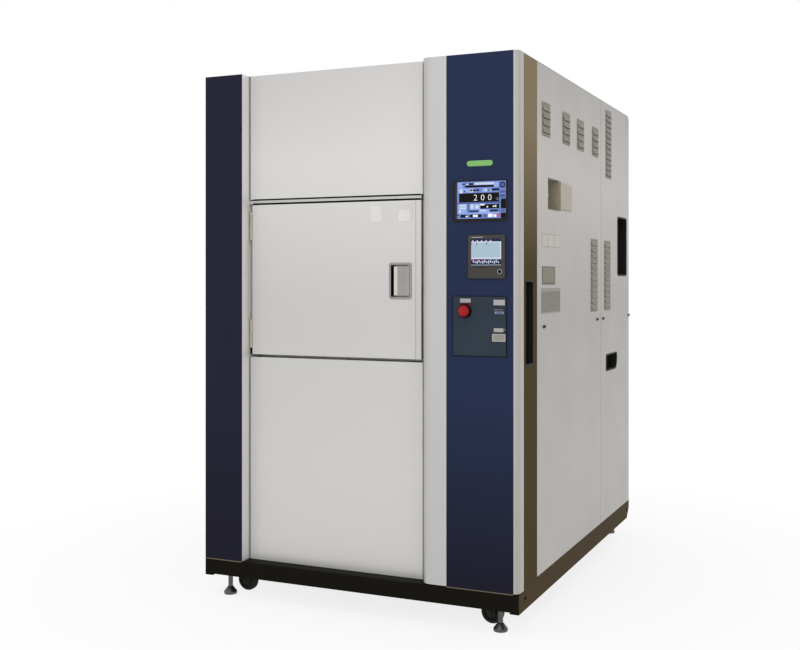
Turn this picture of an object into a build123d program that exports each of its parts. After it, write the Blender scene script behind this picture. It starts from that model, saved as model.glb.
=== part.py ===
from build123d import *
from math import cos, radians, sin
import os

# Environmental test chamber of the thermal shock kind, as an assembly of separate pieces.
# Millimetres. The origin lies on the floor below the middle of the cabinet.
# X points to the right of the front view, Y to the back and Z up.

# Cabinet
width = 1154.0
depth = 1550.0
height = 1820.0
ground_gap = 70.0  # floor to the underside of the base
sheet = 2.0  # folded steel sheet
fold = 22.0  # depth of a panel's folded edge
shut_gap = 3.0  # gap between neighbouring panels
seat_gap = 0.3  # gap between pieces that seat on each other without touching
run_gap = 0.05  # radial clearance of a pin or shaft in its bore
hole_gap = 0.5  # clearance round a piece that passes through a hole

# Base
side_beam_height = 72.0
front_beam_height = 55.0
front_beam_lift = 5.0  # underside of the front beam above that of the side beams
beam_sheet = 4.0
beam_flange = 30.0
front_ledge = 54.0  # top flange of the front beam, as far as the recessed panels
beam_chamfer = 40.0
deck_lift = 38.0  # underside of the base to the underside of the deck
deck_sheet = 3.0

# Front layout
left_column_width = 150.0
control_width = 330.0
front_recess = 50.0  # middle panels behind the two columns
middle_edge_gap = 14.0  # gap from the middle panels to the control column
panel_side_gap = 1.0  # gap from the middle panels to the left column
opening_head = 433.0  # door opening to the top of the cabinet
opening_height = 550.0
post_setback = 53.0  # front face of the corner post behind the front
post_depth = 139.0
post_front_flange = 25.0
post_rear_flange = 45.0
roof_corner_radius = 30.0
side_seam = 1043.0  # front of the cabinet to the seam of the side panels

# Door
door_side_gap = 12.0  # left column to the door
door_free_gap = 19.0  # door to the control column
door_foot_gap = 10.0
door_head_gap = 19.0
head_strip_height = 12.0
head_strip_drop = 4.0  # gap above the head strip
door_thickness = 50.0
edge_strip_width = 19.0
edge_groove = 1.0
gasket_thickness = 10.0
gasket_width = 16.0
gasket_margin = 15.0
surround_thickness = 10.0
plug_depth = 40.0
plug_gap = 12.0

# Hinges of the door
hinge_height = 100.0
hinge_end = 73.0  # ends of the door to the middles of the hinges
leaf_standoff = 1.0
leaf_tie = 2.5
pin_drop = 1.0
knuckle_radius = 4.6
door_pin_radius = 2.5
leaf_sheet = 1.5
leaf_depth = 34.0

# Handle
bezel_width = 82.0
bezel_height = 121.0
bezel_from_edge = 34.0  # free edge of the door to the bezel
bezel_drop = 264.5  # top of the door to the middle of the bezel
bezel_proud = 2.0
bezel_corner = 8.0
bezel_rim = 7.0
cup_depth = 30.0
cup_wall = 2.0
finger_slot = 10.0
paddle_thickness = 8.0
paddle_pin_radius = 2.0
paddle_margin = 5.0  # cup's end walls to the paddle
paddle_inset = 7.0  # cup's side wall to the paddle's pivot
arm_length = 15.0
arm_thickness = 6.0
arm_tip_radius = 3.5
bolt_height = 24.0
bolt_depth = 8.0
bolt_proud = 2.0
bolt_tail = 6.0  # solid end of the bolt behind its slot
keeper_gap = 1.0
keeper_sheet = 2.0

# Test area and zones
test_side_margin = 87.0  # columns to the test area
test_end_margin = 70.5  # ends of the door to the test area
test_depth = 450.0
liner_sheet = 2.0
slab_thickness = 60.0  # insulation between the test area and each zone
zone_height = 300.0
zone_front_wall = 55.0
shell_thickness = 78.0  # insulation outside the zones
duct_side_margin = 100.0  # sides of the test area to the duct
duct_depth = 90.0
duct_setback = 60.0  # duct in front of the liner's back
damper_overlap = 8.0
damper_sheet = 3.0
damper_pin_radius = 3.0
damper_pin_end = 10.0
lug_sheet = 6.0
lug_rim = 4.0
lug_root = 12.0
lug_tie = 10.0
shelf_lift = 60.0
rail_width = 14.0
rail_end = 20.0
shelf_end = 30.0
shelf_side_gap = 3.0
shelf_wire = 6.0
shelf_bars = 9
fan_radius = 90.0
fan_depth = 45.0
fan_blades = 10
fan_shaft_radius = 6.0
fan_wall_gap = 25.0
fan_disc = 3.0
fan_hub_radius = 14.0
fan_ring = 14.0
blade_length = 26.0
blade_tip_gap = 6.0
blade_sheet = 2.5
blade_slant = 35.0
motor_radius = 65.0
motor_length = 120.0
motor_flange = 15.0
motor_flange_sheet = 8.0
shaft_passage = 4.0  # shaft to the hole through the insulation
coil_radius = 5.0
coil_runs = 5
coil_margin = 70.0  # sides of the test area to the bends of the coil
coil_pitch = 44.0
coil_setback = 90.0  # front wall of the zone to the heater
clip_width = 12.0
clip_sheet = 6.0
clip_inset = 40.0
zone_throat = 30.0  # depth of each zone's opening into the slab
evaporator_depth = 70.0
evaporator_height = 210.0
evaporator_setback = 60.0
evaporator_fins = 13
evaporator_fin_sheet = 3.0
evaporator_fin_lift = 12.0
evaporator_tubes = 3
evaporator_tube_radius = 8.0
evaporator_tube_first = 50.0
evaporator_tube_pitch = 55.0
evaporator_tube_end = 20.0

# Control column
fascia_left_radius = 30.0
fascia_right_radius = 20.0
inlay_left = 89.0  # left edge of the column to the blue inlay
inlay_width = 223.0
inlay_sheet = 1.5
fascia_axis_x = 6.5  # left edge of the column to the hinge axis
fascia_axis_y = 8.0  # back edge of the column to the hinge axis
fascia_knuckle_radius = 4.0
fascia_pin_radius = 2.0
fascia_hinge_height = 60.0
fascia_hinge_end = 200.0  # ends of the column to its outer hinges
fascia_leaf = 14.0
fascia_notch = 5.0
mullion_width = 40.0
mullion_depth = 50.0
mullion_setback = 5.0

# Instruments, as left edge from the inlay, level of the lower edge, width and height
lamp_place = (70.0, height - 356.0, 86.0, 18.0)
touch_place = (23.0, height - 530.0, 181.0, 130.0)
recorder_place = (75.0, height - 709.0, 123.0, 137.0)
switch_place = (22.0, height - 953.0, 180.0, 190.0)
lamp_proud = 4.0
touch_proud = 3.0
touch_depth = 50.0
touch_border = 9.0
recorder_proud = 8.0
recorder_depth = 102.0
recorder_screen_width = 99.0
recorder_screen_height = 83.0
screen_sheet = 1.0
screen_head = 12.0
door_line_level = 36.0
door_line = 1.5
door_line_end = 6.0
lamp_border = 5.0
lamp_depth = 20.0
backing_overlap = 10.0
button_radius = 5.0
button_travel = 1.5
button_gap = 0.2
button_well = 6.0
button_inset = 17.0
button_level = 22.0
switch_sheet = 2.5
stop_radius = 18.0
stop_height = 22.0
stop_collar_radius = 22.0
stop_collar_height = 6.0
stop_stem_radius = 7.0
stop_stem_length = 25.0
stop_lip = 4.0
stop_crown = 8.0
stop_travel = 4.0
stop_inset = 42.0
stop_drop = 48.0
stop_body_wall = 3.0
stop_body_depth = 45.0
meter_box = (3.0, 48.0, 46.0, 24.0)  # from the right edge, level, width and height
meter_proud = 3.0
counter_box = (8.0, 132.0, 37.0, 20.0)
counter_proud = 2.0
lock_radius = 3.5
lock_inset = 6.0
lock_level = 86.0
lock_head = 1.5
lock_slot = 1.0
lock_tongue = 25.0
lock_tongue_width = 10.0

# Right side
post_grip = (66.0, height - 982.0, 80.0, 265.0)
rear_grip = (1334.0, height - 694.0, 165.0, 242.0)
low_grip = (1133.0, height - 1080.0, 185.0, 62.0)
post_grip_depth = 24.0
side_grip_depth = 35.0
grip_corner = 12.0
grip_lip = 4.0
grip_lip_sheet = 1.0
breaker_place = (313.0, height - 476.0, 137.0, 106.0)
breaker_depth = 60.0
flap_width = 145.0
flap_height = 90.0
flap_axis_gap = 6.5
flap_sheet = 2.0
flap_standoff = 3.0
flap_pin_radius = 1.2
flap_knuckle_radius = 2.4
flap_knuckle_gap = 0.4
flap_corner = 8.0
flap_pin_end = 5.0
eye_height = 6.0
eye_sheet = 2.4
breaker_body_width = 60.0
breaker_body_height = 70.0
breaker_body_depth = 30.0
toggle_length = 16.0
toggle_width = 12.0
toggle_thickness = 6.0
toggle_hub_radius = 5.5
toggle_pin_radius = 2.0
toggle_pin_length = 28.0
toggle_setback = 6.0
toggle_slot = 30.0
toggle_slot_depth = 9.0

# Vents in each side, as middle from the front, width, drop below the top, and height
vents = (
    (291.0, 92.0, 123.0, 112.0),
    (538.0, 92.0, 123.0, 112.0),
    (732.0, 92.0, 123.0, 112.0),
    (952.0, 92.0, 123.0, 112.0),
    (1169.0, 90.0, 27.0, 275.0),
    (937.0, 98.0, 556.0, 281.0),
    (1151.0, 98.0, 556.0, 281.0),
)
vent_sheet = 1.5
vent_border = 7.0
vent_corner = 3.0
louvre_pitch = 22.0
louvre_share = 0.72
louvre_proud = 4.0
louvre_sheet = 1.0

# Feet and casters
foot_side_inset = 75.0
foot_end_inset = 45.0
foot_pad_radius = 23.0
foot_pad_height = 9.0
foot_cone_height = 24.0
foot_stem_radius = 8.0
foot_boss_radius = 16.0
foot_boss_length = 22.0
lock_nut_height = 8.0
lock_nut_across = 24.0
wheel_radius = 37.5
wheel_width = 24.0
wheel_floor_gap = 5.0
wheel_end_inset = 95.0
wheel_side_inset = 118.0
caster_trail = 25.0
axle_radius = 5.0
hub_wall = 6.0
fork_gap = 3.0
fork_sheet = 4.0
fork_cheek = 28.0
caster_plate = 70.0
axle_end = 3.0
race_share = 0.8
king_pin_radius = 6.0
crown_gap = 4.0

# Machine compartment and back
back_setback = 4.0
compressor_radius = 95.0
compressor_height = 330.0
compressor_inset = 317.0  # left side to the first compressor's axis
compressor_spacing = 320.0
compressor_back_gap = 445.0
compressor_skirt = 20.0
compressor_foot = 8.0
condenser_width = 520.0
condenser_height = 380.0
condenser_depth = 60.0
condenser_fins = 14
condenser_fin_sheet = 4.0
condenser_rows = 4
condenser_tube_radius = 9.0
condenser_tube_end = 15.0
condenser_back_gap = 60.0
strut_reach = 110.0
strut_sheet = 4.0
strut_height = 30.0
cool_motor_radius = 38.0
cool_motor_reach = 60.0
cool_motor_bore = 40.0
cool_fan_radius = 150.0
cool_fan_blades = 5
cool_hub_radius = 30.0
cool_hub_length = 36.0
cool_shaft_length = 30.0
cool_blade_chord = 70.0
cool_blade_root = 25.0
cool_blade_sheet = 3.0
cool_blade_slant = 28.0
port_level = 90.0
port_inset = 247.0  # sides to the first pipe and to the gland
water_pipe_radius = 13.0
water_pipe_spacing = 90.0
gland_radius = 18.0
port_wall = 3.5
port_reach = 60.0
port_bore_depth = 20.0
collar_rim = 7.0
collar_thickness = 8.0
bank_width = 420.0
bank_height = 260.0
bank_rim = 10.0
bank_low_gap = 278.0  # lower end of the back panel to the middle of the lower louvres
bank_high_gap = 420.0
device_rows = 4
device_first = 278.0  # lower end of the side panels to the first row
device_pitch = 220.0
device_rail = 8.0
device_rail_height = 34.0
device_depth = 60.0
device_height = 80.0
device_share = 0.8
device_left_gap = 15.0
device_right_gap = 30.0

# Places worked out from the sizes above
left = -width / 2
right = width / 2
front = -depth / 2
back = depth / 2
base_z = ground_gap
front_beam_z = base_z + front_beam_lift
front_panels_z = front_beam_z + front_beam_height
side_panels_z = base_z + side_beam_height
deck_z = base_z + deck_lift
deck_top = deck_z + deck_sheet
side_top = height - sheet - hole_gap
middle_front = front + front_recess
middle_left = left + left_column_width
control_left = right - control_width
panel_left = middle_left + panel_side_gap
panel_right = control_left - middle_edge_gap
opening_high = height - opening_head
opening_low = opening_high - opening_height
side_panel_front = front + post_setback + post_depth
seam_y = front + side_seam
door_left = middle_left + door_side_gap
door_right = control_left - door_free_gap
door_low = opening_low + door_foot_gap
door_high = opening_high - door_head_gap
door_back = middle_front + door_thickness
skin_right = door_right - edge_strip_width - edge_groove
gasket_back = door_back + gasket_thickness
surround_front = gasket_back + seat_gap
surround_back = surround_front + surround_thickness
chamber_x = (middle_left + control_left) / 2
chamber_z = (door_low + door_high) / 2
test_left = middle_left + test_side_margin
test_right = control_left - test_side_margin
test_low = door_low + test_end_margin
test_high = door_high - test_end_margin
duct_width = test_right - test_left - 2 * duct_side_margin
coil_span = test_right - test_left - 2 * coil_margin
test_back = surround_back + test_depth
liner_back = test_back + liner_sheet
hot_low = test_high + liner_sheet + slab_thickness
hot_high = hot_low + zone_height
cold_high = test_low - liner_sheet - slab_thickness
cold_low = cold_high - zone_height
zone_front = surround_back + zone_front_wall
insulation_back = liner_back + shell_thickness
roof_front = middle_front + fold + seat_gap
duct_back = test_back - duct_setback
hinge_levels = (door_low + hinge_end, door_high - hinge_end)
hinge_x = middle_left + (door_side_gap - panel_side_gap) / 2 + panel_side_gap
hinge_y = middle_front
bezel_level = door_high - bezel_drop
bezel_right = door_right - bezel_from_edge
bezel_left = bezel_right - bezel_width
bezel_low = bezel_level - bezel_height / 2
bezel_high = bezel_level + bezel_height / 2
cup_left = bezel_left + bezel_rim
cup_right = bezel_right - bezel_rim
cup_low = bezel_low + bezel_rim
cup_high = bezel_high - bezel_rim
cup_back = middle_front + cup_depth
pivot_x = cup_right - paddle_inset
pivot_y = middle_front + paddle_thickness * 0.75
arm_tip_y = pivot_y + arm_length
fascia_back = front + front_recess
fascia_low = front_panels_z + shut_gap
fascia_hinge_levels = (
    fascia_low + fascia_hinge_end,
    (fascia_low + height) / 2,
    height - fascia_hinge_end,
)
fascia_hinge_x = control_left + fascia_axis_x
fascia_hinge_y = fascia_back - fascia_axis_y
inlay_x = control_left + inlay_left
wheel_z = wheel_floor_gap + wheel_radius
crown_z = wheel_z + wheel_radius + crown_gap
switch_front = front - switch_sheet
rear_stub = switch_sheet + stop_height
condenser_y = back - fold - condenser_back_gap - condenser_depth
condenser_z = deck_top + condenser_height / 2
port_z = side_panels_z + port_level


def block(x_low, x_high, y_low, y_high, z_low, z_high):
    """Straight block between two opposite corners."""
    middle = Pos((x_low + x_high) / 2, (y_low + y_high) / 2, (z_low + z_high) / 2)
    return middle * Box(x_high - x_low, y_high - y_low, z_high - z_low)


def patch(a_low, a_high, b_low, b_high, corner=0.0):
    """Flat rectangle between two corners of a sketch plane, with round corners if asked."""
    middle = Pos((a_low + a_high) / 2, (b_low + b_high) / 2)
    if corner > 0:
        return middle * RectangleRounded(a_high - a_low, b_high - b_low, corner)
    return middle * Rectangle(a_high - a_low, b_high - b_low)


def plate_xz(outline, y_low, y_high):
    """Plate parallel to the front, from an outline in X and Z."""
    return extrude(Plane.XZ.offset(-y_high) * outline, y_high - y_low, dir=(0, -1, 0))


def plate_yz(outline, x_low, x_high):
    """Plate parallel to a side, from an outline in Y and Z."""
    return extrude(Plane.YZ.offset(x_low) * outline, x_high - x_low, dir=(1, 0, 0))


def plate_xy(outline, z_low, z_high):
    """Level plate or upright prism, from an outline in X and Y."""
    return extrude(Plane.XY.offset(z_low) * outline, z_high - z_low, dir=(0, 0, 1))


def rod_x(x_low, x_high, y, z, radius):
    """Round rod along X."""
    return plate_yz(Pos(y, z) * Circle(radius), x_low, x_high)


def rod_y(x, y_low, y_high, z, radius):
    """Round rod along Y."""
    return plate_xz(Pos(x, z) * Circle(radius), y_low, y_high)


def rod_z(x, y, z_low, z_high, radius):
    """Round rod along Z."""
    return plate_xy(Pos(x, y) * Circle(radius), z_low, z_high)


def turned(points, x, y):
    """Turned piece about an upright axis, from radius and height points."""
    profile = Plane.XZ * Polygon(*points, align=None)
    return Pos(x, y, 0) * revolve(profile, Axis.Z)


def group(solids):
    """Separate solids of one node."""
    return Compound(children=list(solids))


def folded_front_panel(x_low, x_high, z_low, z_high):
    """Recessed front panel with its edges folded back."""
    outer = plate_xz(patch(x_low, x_high, z_low, z_high), middle_front, middle_front + fold)
    inner_outline = patch(x_low + sheet, x_high - sheet, z_low + sheet, z_high - sheet)
    return outer - plate_xz(inner_outline, middle_front + sheet, middle_front + fold)


def base_frame():
    """Welded ring of channels with cross members and the rear caster brackets."""
    def channel(outer, sense, low):
        """Channel section in X and Z, or Y and Z, open to the inside."""
        top = base_z + side_beam_height
        inner = outer + sense * beam_flange
        web = outer + sense * beam_sheet
        low_side, high_side = sorted((outer, inner))
        hollow = sorted((web, inner))
        body = patch(low_side, high_side, low, top)
        return body - patch(hollow[0], hollow[1], low + beam_sheet, top - beam_sheet)

    beams = []
    for outer, sense in ((left, 1), (right, -1)):
        beam = plate_xz(channel(outer, sense, base_z), front, back)
        corner = Polygon(
            (back - beam_chamfer, base_z),
            (back, base_z),
            (back, base_z + beam_chamfer),
            align=None,
        )
        notch = block(left, right, front, front + post_setback, front_panels_z, side_panels_z)
        beams.append(beam - plate_yz(corner, left, right) - notch)
    front_section = patch(front, front + front_ledge, front_beam_z, front_panels_z)
    front_hollow = patch(
        front + beam_sheet,
        front + front_ledge,
        front_beam_z + beam_sheet,
        front_panels_z - beam_sheet,
    )
    lower_lip = patch(
        front + beam_flange,
        front + front_ledge,
        front_beam_z,
        front_beam_z + beam_sheet,
    )
    inner_left = left + beam_sheet
    inner_right = right - beam_sheet
    beams.append(plate_yz(front_section - front_hollow - lower_lip, inner_left, inner_right))
    rear_section = channel(back, -1, deck_top)
    beams.append(plate_yz(rear_section, inner_left, inner_right))
    ring = beams[0]
    for beam in beams[1:]:
        ring = ring + beam
    for y in (front + depth * 0.3, front + depth * 0.7):
        section = patch(y - beam_flange, y + beam_flange, deck_z - beam_flange, deck_z)
        hollow = patch(
            y - beam_flange + beam_sheet,
            y + beam_flange - beam_sheet,
            deck_z - beam_flange,
            deck_z - beam_sheet,
        )
        ring = ring + plate_yz(section - hollow, inner_left, inner_right)
    return group([ring] + [rear_caster_bracket(side) for side in (-1, 1)])


def caster_centre(side, end):
    """Middle of a wheel, for side -1 or 1 in X and end -1 or 1 in Y."""
    x = side * (width / 2 - wheel_side_inset)
    y = end * (depth / 2 - wheel_end_inset)
    return x, y


def rear_caster_bracket(side):
    """Rigid bracket with two cheeks and a fixed axle along X."""
    x, y = caster_centre(side, 1)
    half = wheel_width / 2 + fork_gap
    plate = block(
        x - caster_plate / 2,
        x + caster_plate / 2,
        y - caster_plate / 2,
        y + caster_plate / 2,
        deck_z - fork_sheet,
        deck_z,
    )
    outline = Polygon(
        (y - caster_plate / 2, deck_z - fork_sheet),
        (y + caster_plate / 2, deck_z - fork_sheet),
        (y + fork_cheek / 2, wheel_z),
        (y - fork_cheek / 2, wheel_z),
        align=None,
    )
    outline = outline + Pos(y, wheel_z) * Circle(fork_cheek / 2)
    bracket = plate + plate_yz(outline, x - half - fork_sheet, x - half)
    bracket = bracket + plate_yz(outline, x + half, x + half + fork_sheet)
    reach = half + fork_sheet + axle_end
    axle = rod_x(x - reach, x + reach, y, wheel_z, axle_radius)
    return bracket + axle


def foot_centres():
    """Middles of the four levelling feet by name."""
    places = {}
    for end_name, end in (("front", -1), ("rear", 1)):
        for side_name, side in (("left", -1), ("right", 1)):
            x = side * (width / 2 - foot_side_inset)
            y = end * (depth / 2 - foot_end_inset)
            places[end_name + "_" + side_name] = (x, y)
    return places


def base_deck():
    """Floor plate with foot bosses and swivel heads, and the stand of the insulated block."""
    inset = beam_sheet + seat_gap
    deck = block(left + inset, right - inset, front + inset, back - inset, deck_z, deck_top)
    for x, y in foot_centres().values():
        deck = deck + rod_z(x, y, deck_z - foot_boss_length, deck_z, foot_boss_radius)
        bore = foot_stem_radius + run_gap
        deck = deck - rod_z(x, y, deck_z - foot_boss_length, deck_top, bore)
    for side in (-1, 1):
        x, y = caster_centre(side, -1)
        x = x - side * caster_trail
        head = block(
            x - caster_plate / 2,
            x + caster_plate / 2,
            y - caster_plate / 2,
            y + caster_plate / 2,
            deck_z - fork_sheet,
            deck_z,
        )
        deck = deck + head
        deck = deck - rod_z(x, y, deck_z - fork_sheet, deck_top, king_pin_radius + run_gap)
    inset = shell_thickness / 2
    walls = patch(
        test_left - inset, test_right + inset, surround_back + inset, insulation_back - inset
    )
    inset = inset - beam_sheet
    wall = 2 * beam_sheet
    room = patch(
        test_left - inset,
        test_right + inset,
        surround_back + inset + wall,
        insulation_back - inset - wall,
    )
    stand = plate_xy(walls - room, deck_top, cold_low - shell_thickness)
    return group([deck, stand])


def levelling_foot(x, y):
    """Turned foot with its pad on the floor, cone, lock nut and stem."""
    nut_z = deck_z - foot_boss_length - seat_gap - lock_nut_height
    body = turned(
        (
            (0, 0),
            (foot_pad_radius - 1.5, 0),
            (foot_pad_radius, 1.5),
            (foot_pad_radius, foot_pad_height),
            (foot_stem_radius + 3, foot_cone_height),
            (foot_stem_radius, foot_cone_height + 3),
            (foot_stem_radius, deck_top + 12),
            (0, deck_top + 12),
        ),
        x,
        y,
    )
    nut_outline = Pos(x, y) * RegularPolygon(lock_nut_across / 2, 6, major_radius=False)
    return body + plate_xy(nut_outline, nut_z, nut_z + lock_nut_height)


def front_fork(side):
    """Swivel fork of a front caster, turned so that its axle lies along Y."""
    x_wheel, y = caster_centre(side, -1)
    x_pin = x_wheel - side * caster_trail
    half = wheel_width / 2 + fork_gap
    crown_high = crown_z + fork_sheet
    outline = Polygon(
        (x_pin - side * fork_cheek, crown_high),
        (x_pin + side * fork_cheek, crown_high),
        (x_wheel + side * fork_cheek / 2, wheel_z),
        (x_wheel - side * fork_cheek / 2, wheel_z),
        align=None,
    )
    outline = outline + Pos(x_wheel, wheel_z) * Circle(fork_cheek / 2)
    fork = plate_xz(outline, y - half - fork_sheet, y - half)
    fork = fork + plate_xz(outline, y + half, y + half + fork_sheet)
    crown = block(
        x_pin - fork_cheek,
        x_pin + fork_cheek,
        y - half - fork_sheet,
        y + half + fork_sheet,
        crown_z,
        crown_high,
    )
    race_top = deck_z - fork_sheet - seat_gap
    fork = fork + crown + rod_z(x_pin, y, crown_high, race_top, fork_cheek * race_share)
    fork = fork + rod_z(x_pin, y, race_top, deck_top, king_pin_radius)
    reach = half + fork_sheet + axle_end
    return fork + rod_y(x_wheel, y - reach, y + reach, wheel_z, axle_radius)


def wheel(x, y, along_y):
    """Wheel with a round tread, recessed web and bored hub, turned about its axle."""
    half = wheel_width / 2
    bore = axle_radius + run_gap
    hub = axle_radius + hub_wall
    web = half * 0.45
    rim = wheel_radius * 0.72
    profile = Polygon(
        (bore, -half),
        (hub, -half),
        (hub + 2, -web),
        (rim - 2, -web),
        (rim, -half * 0.9),
        (wheel_radius - 3, -half * 0.9),
        (wheel_radius, -half * 0.5),
        (wheel_radius, half * 0.5),
        (wheel_radius - 3, half * 0.9),
        (rim, half * 0.9),
        (rim - 2, web),
        (hub + 2, web),
        (hub, half),
        (bore, half),
        align=None,
    )
    upright = revolve(Plane.XZ * profile, Axis.Z)
    lay = Rot(90, 0, 0) if along_y else Rot(0, 90, 0)
    return Pos(x, y, wheel_z) * lay * upright


def front_posts():
    """Corner post at the right and the hidden mullion that carries the control column."""
    post_front = front + post_setback
    post_back = side_panel_front - shut_gap
    section = patch(right - post_rear_flange, right, post_front, post_back)
    section = section - patch(
        right - post_rear_flange, right - beam_sheet, post_front + beam_sheet, post_back - beam_sheet
    )
    section = section - patch(
        right - post_rear_flange, right - post_front_flange, post_front, post_front + beam_sheet
    )
    post = plate_xy(section, side_panels_z, side_top)
    y_grip, z_grip, grip_width, grip_height = post_grip
    hole = patch(
        front + y_grip - hole_gap,
        front + y_grip + grip_width + hole_gap,
        z_grip - hole_gap,
        z_grip + grip_height + hole_gap,
        grip_corner - 4 + hole_gap,
    )
    post = post - plate_yz(hole, right - beam_sheet, right)
    mullion_front = fascia_back + mullion_setback
    outline = patch(
        control_left, control_left + mullion_width, mullion_front, mullion_front + mullion_depth
    )
    hollow = patch(
        control_left + sheet,
        control_left + mullion_width,
        mullion_front + sheet,
        mullion_front + mullion_depth - sheet,
    )
    mullion = plate_xy(outline - hollow, deck_top, side_top)
    for level in fascia_hinge_levels:
        low = level - fascia_hinge_height / 2
        middle = level - seat_gap / 2
        mullion = mullion + rod_z(
            fascia_hinge_x, fascia_hinge_y, low, middle, fascia_knuckle_radius
        )
        mullion = mullion + rod_z(
            fascia_hinge_x, fascia_hinge_y, middle, level + fascia_hinge_height / 2, fascia_pin_radius
        )
        mullion = mullion + block(
            fascia_hinge_x - leaf_sheet,
            fascia_hinge_x + leaf_sheet,
            fascia_hinge_y,
            mullion_front,
            low,
            middle,
        )
    return group([post, mullion])


def left_column_cover():
    """Folded cover of the left column, closed above, with the door jamb as its right wall."""
    face = front + inlay_sheet
    outline = patch(left, middle_left, face, side_panel_front - shut_gap)
    hollow = patch(left + sheet, middle_left - sheet, face + sheet, side_panel_front - shut_gap)
    beyond = patch(left + sheet, middle_left, surround_front, side_panel_front - shut_gap)
    cover = plate_xy(outline - hollow - beyond, front_panels_z, height)
    cap_outline = patch(left, middle_left, face, roof_front)
    cover = cover + plate_xy(cap_outline, height - sheet, height)
    beam_room = block(
        left, left + sheet, front + post_setback, side_panel_front, front_panels_z, side_panels_z
    )
    roof_room = block(left, middle_left, roof_front - seat_gap, side_panel_front, side_top, height)
    return cover - beam_room - roof_room


def left_column_inlay():
    """Flat blue face of the left column."""
    outline = patch(left, middle_left, front_panels_z, height)
    return plate_xz(outline, front, front + inlay_sheet)


def roof_panel():
    """Roof sheet with its rear edge bent down in an arc."""
    radius = roof_corner_radius
    inner_radius = radius - sheet
    outline = make_face(
        [
            Line((roof_front, height), (back - radius, height)),
            RadiusArc((back - radius, height), (back, height - radius), radius),
            Line((back, height - radius), (back - sheet, height - radius)),
            RadiusArc((back - sheet, height - radius), (back - radius, height - sheet), -inner_radius),
            Line((back - radius, height - sheet), (roof_front, height - sheet)),
            Line((roof_front, height - sheet), (roof_front, height)),
        ]
    )
    roof = plate_yz(outline, left, right)
    roof = roof + block(
        control_left,
        right,
        fascia_back + mullion_setback,
        roof_front,
        height - sheet,
        height,
    )
    for side in (-1, 1):
        x = side * (width / 2 - fold - hole_gap - sheet / 2)
        roof = roof + block(
            x - sheet / 2,
            x + sheet / 2,
            side_panel_front,
            back - radius,
            height - fold,
            height - sheet,
        )
    return roof


def door_surround():
    """Frame plate round the test area with the head strip and the latch keeper on it."""
    outline = patch(panel_left, control_left - panel_side_gap, opening_low, opening_high)
    hole = patch(test_left, test_right, test_low, test_high)
    surround = plate_xz(outline - hole, surround_front, surround_back)
    head_high = opening_high - head_strip_drop
    strip_outline = patch(panel_left, door_right, head_high - head_strip_height, head_high)
    strip = plate_xz(strip_outline, middle_front, surround_front)
    keeper_x = door_right + bolt_proud + keeper_gap
    keeper = block(
        keeper_x,
        keeper_x + keeper_sheet,
        arm_tip_y - bolt_depth,
        surround_front,
        bezel_level - bolt_height,
        bezel_level + bolt_height,
    )
    return surround + strip + keeper


def duct_box(outset, z_low, z_high):
    """Block over the plan of the air ducts, larger by an outset."""
    half = duct_width / 2 + outset
    return block(
        chamber_x - half,
        chamber_x + half,
        duct_back - duct_depth - outset,
        duct_back + outset,
        z_low,
        z_high,
    )


def damper_pin_z(hot):
    """Level of a damper's pin."""
    gap = seat_gap + damper_sheet / 2
    return hot_low + gap if hot else cold_high - gap


def air_collar(hot):
    """Sheet collar between the test area and a zone, with the lugs of its damper."""
    sense = 1 if hot else -1
    root = test_high + liner_sheet if hot else test_low - liner_sheet
    rim = hot_low if hot else cold_high
    z_low, z_high = sorted((root, rim))
    collar = duct_box(liner_sheet, z_low, z_high) - duct_box(0, z_low, z_high)
    pin_z = damper_pin_z(hot)
    pin_y = duct_back + damper_overlap + damper_pin_radius
    foot = pin_z - sense * (damper_pin_radius + lug_rim + lug_root)
    tip = pin_z + sense * (damper_pin_radius + lug_rim - 1)
    lug_low, lug_high = sorted((foot, tip))
    tie_low, tie_high = sorted((foot, foot + sense * lug_tie))
    half = lug_sheet / 2
    for side in (-1, 1):
        x = chamber_x + side * (duct_width / 2 + damper_overlap + lug_sheet)
        lug_back = pin_y + damper_pin_radius + lug_rim
        lug = block(x - half, x + half, duct_back, lug_back, lug_low, lug_high)
        x_low, x_high = sorted((x, chamber_x + side * duct_width / 2))
        tie = block(x_low, x_high, duct_back, duct_back + liner_sheet, tie_low, tie_high)
        collar = collar + lug + tie
        bore = damper_pin_radius + run_gap
        collar = collar - rod_x(x - half, x + half, pin_y, pin_z, bore)
    return collar


def test_area_liner():
    """Stainless sheets round the test area, the two air collars and the shelf rails."""
    pieces = []
    rail_z = test_low + shelf_lift
    for side, wall in ((-1, test_left), (1, test_right)):
        x_low, x_high = sorted((wall, wall + side * liner_sheet))
        pieces.append(
            block(
                x_low,
                x_high,
                surround_back,
                liner_back,
                test_low - liner_sheet,
                test_high + liner_sheet,
            )
        )
        x_low, x_high = sorted((wall, wall - side * rail_width))
        y_low = surround_back + rail_end
        y_high = test_back - rail_end
        pieces.append(block(x_low, x_high, y_low, y_high, rail_z - sheet, rail_z))
    pieces.append(block(test_left, test_right, test_back, liner_back, test_low, test_high))
    for z_low, z_high in ((test_low - liner_sheet, test_low), (test_high, test_high + liner_sheet)):
        level = block(test_left, test_right, surround_back, liner_back, z_low, z_high)
        pieces.append(level - duct_box(0, z_low, z_high))
    return group(pieces + [air_collar(True), air_collar(False)])


def damper(hot):
    """Flap that covers a duct's rim and turns with its pin behind the rim."""
    pin_z = damper_pin_z(hot)
    pin_y = duct_back + damper_overlap + damper_pin_radius
    half = duct_width / 2 + damper_overlap
    plate = block(
        chamber_x - half,
        chamber_x + half,
        duct_back - duct_depth - damper_overlap,
        pin_y,
        pin_z - damper_sheet / 2,
        pin_z + damper_sheet / 2,
    )
    reach = half + damper_pin_end
    return plate + rod_x(chamber_x - reach, chamber_x + reach, pin_y, pin_z, damper_pin_radius)


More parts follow.
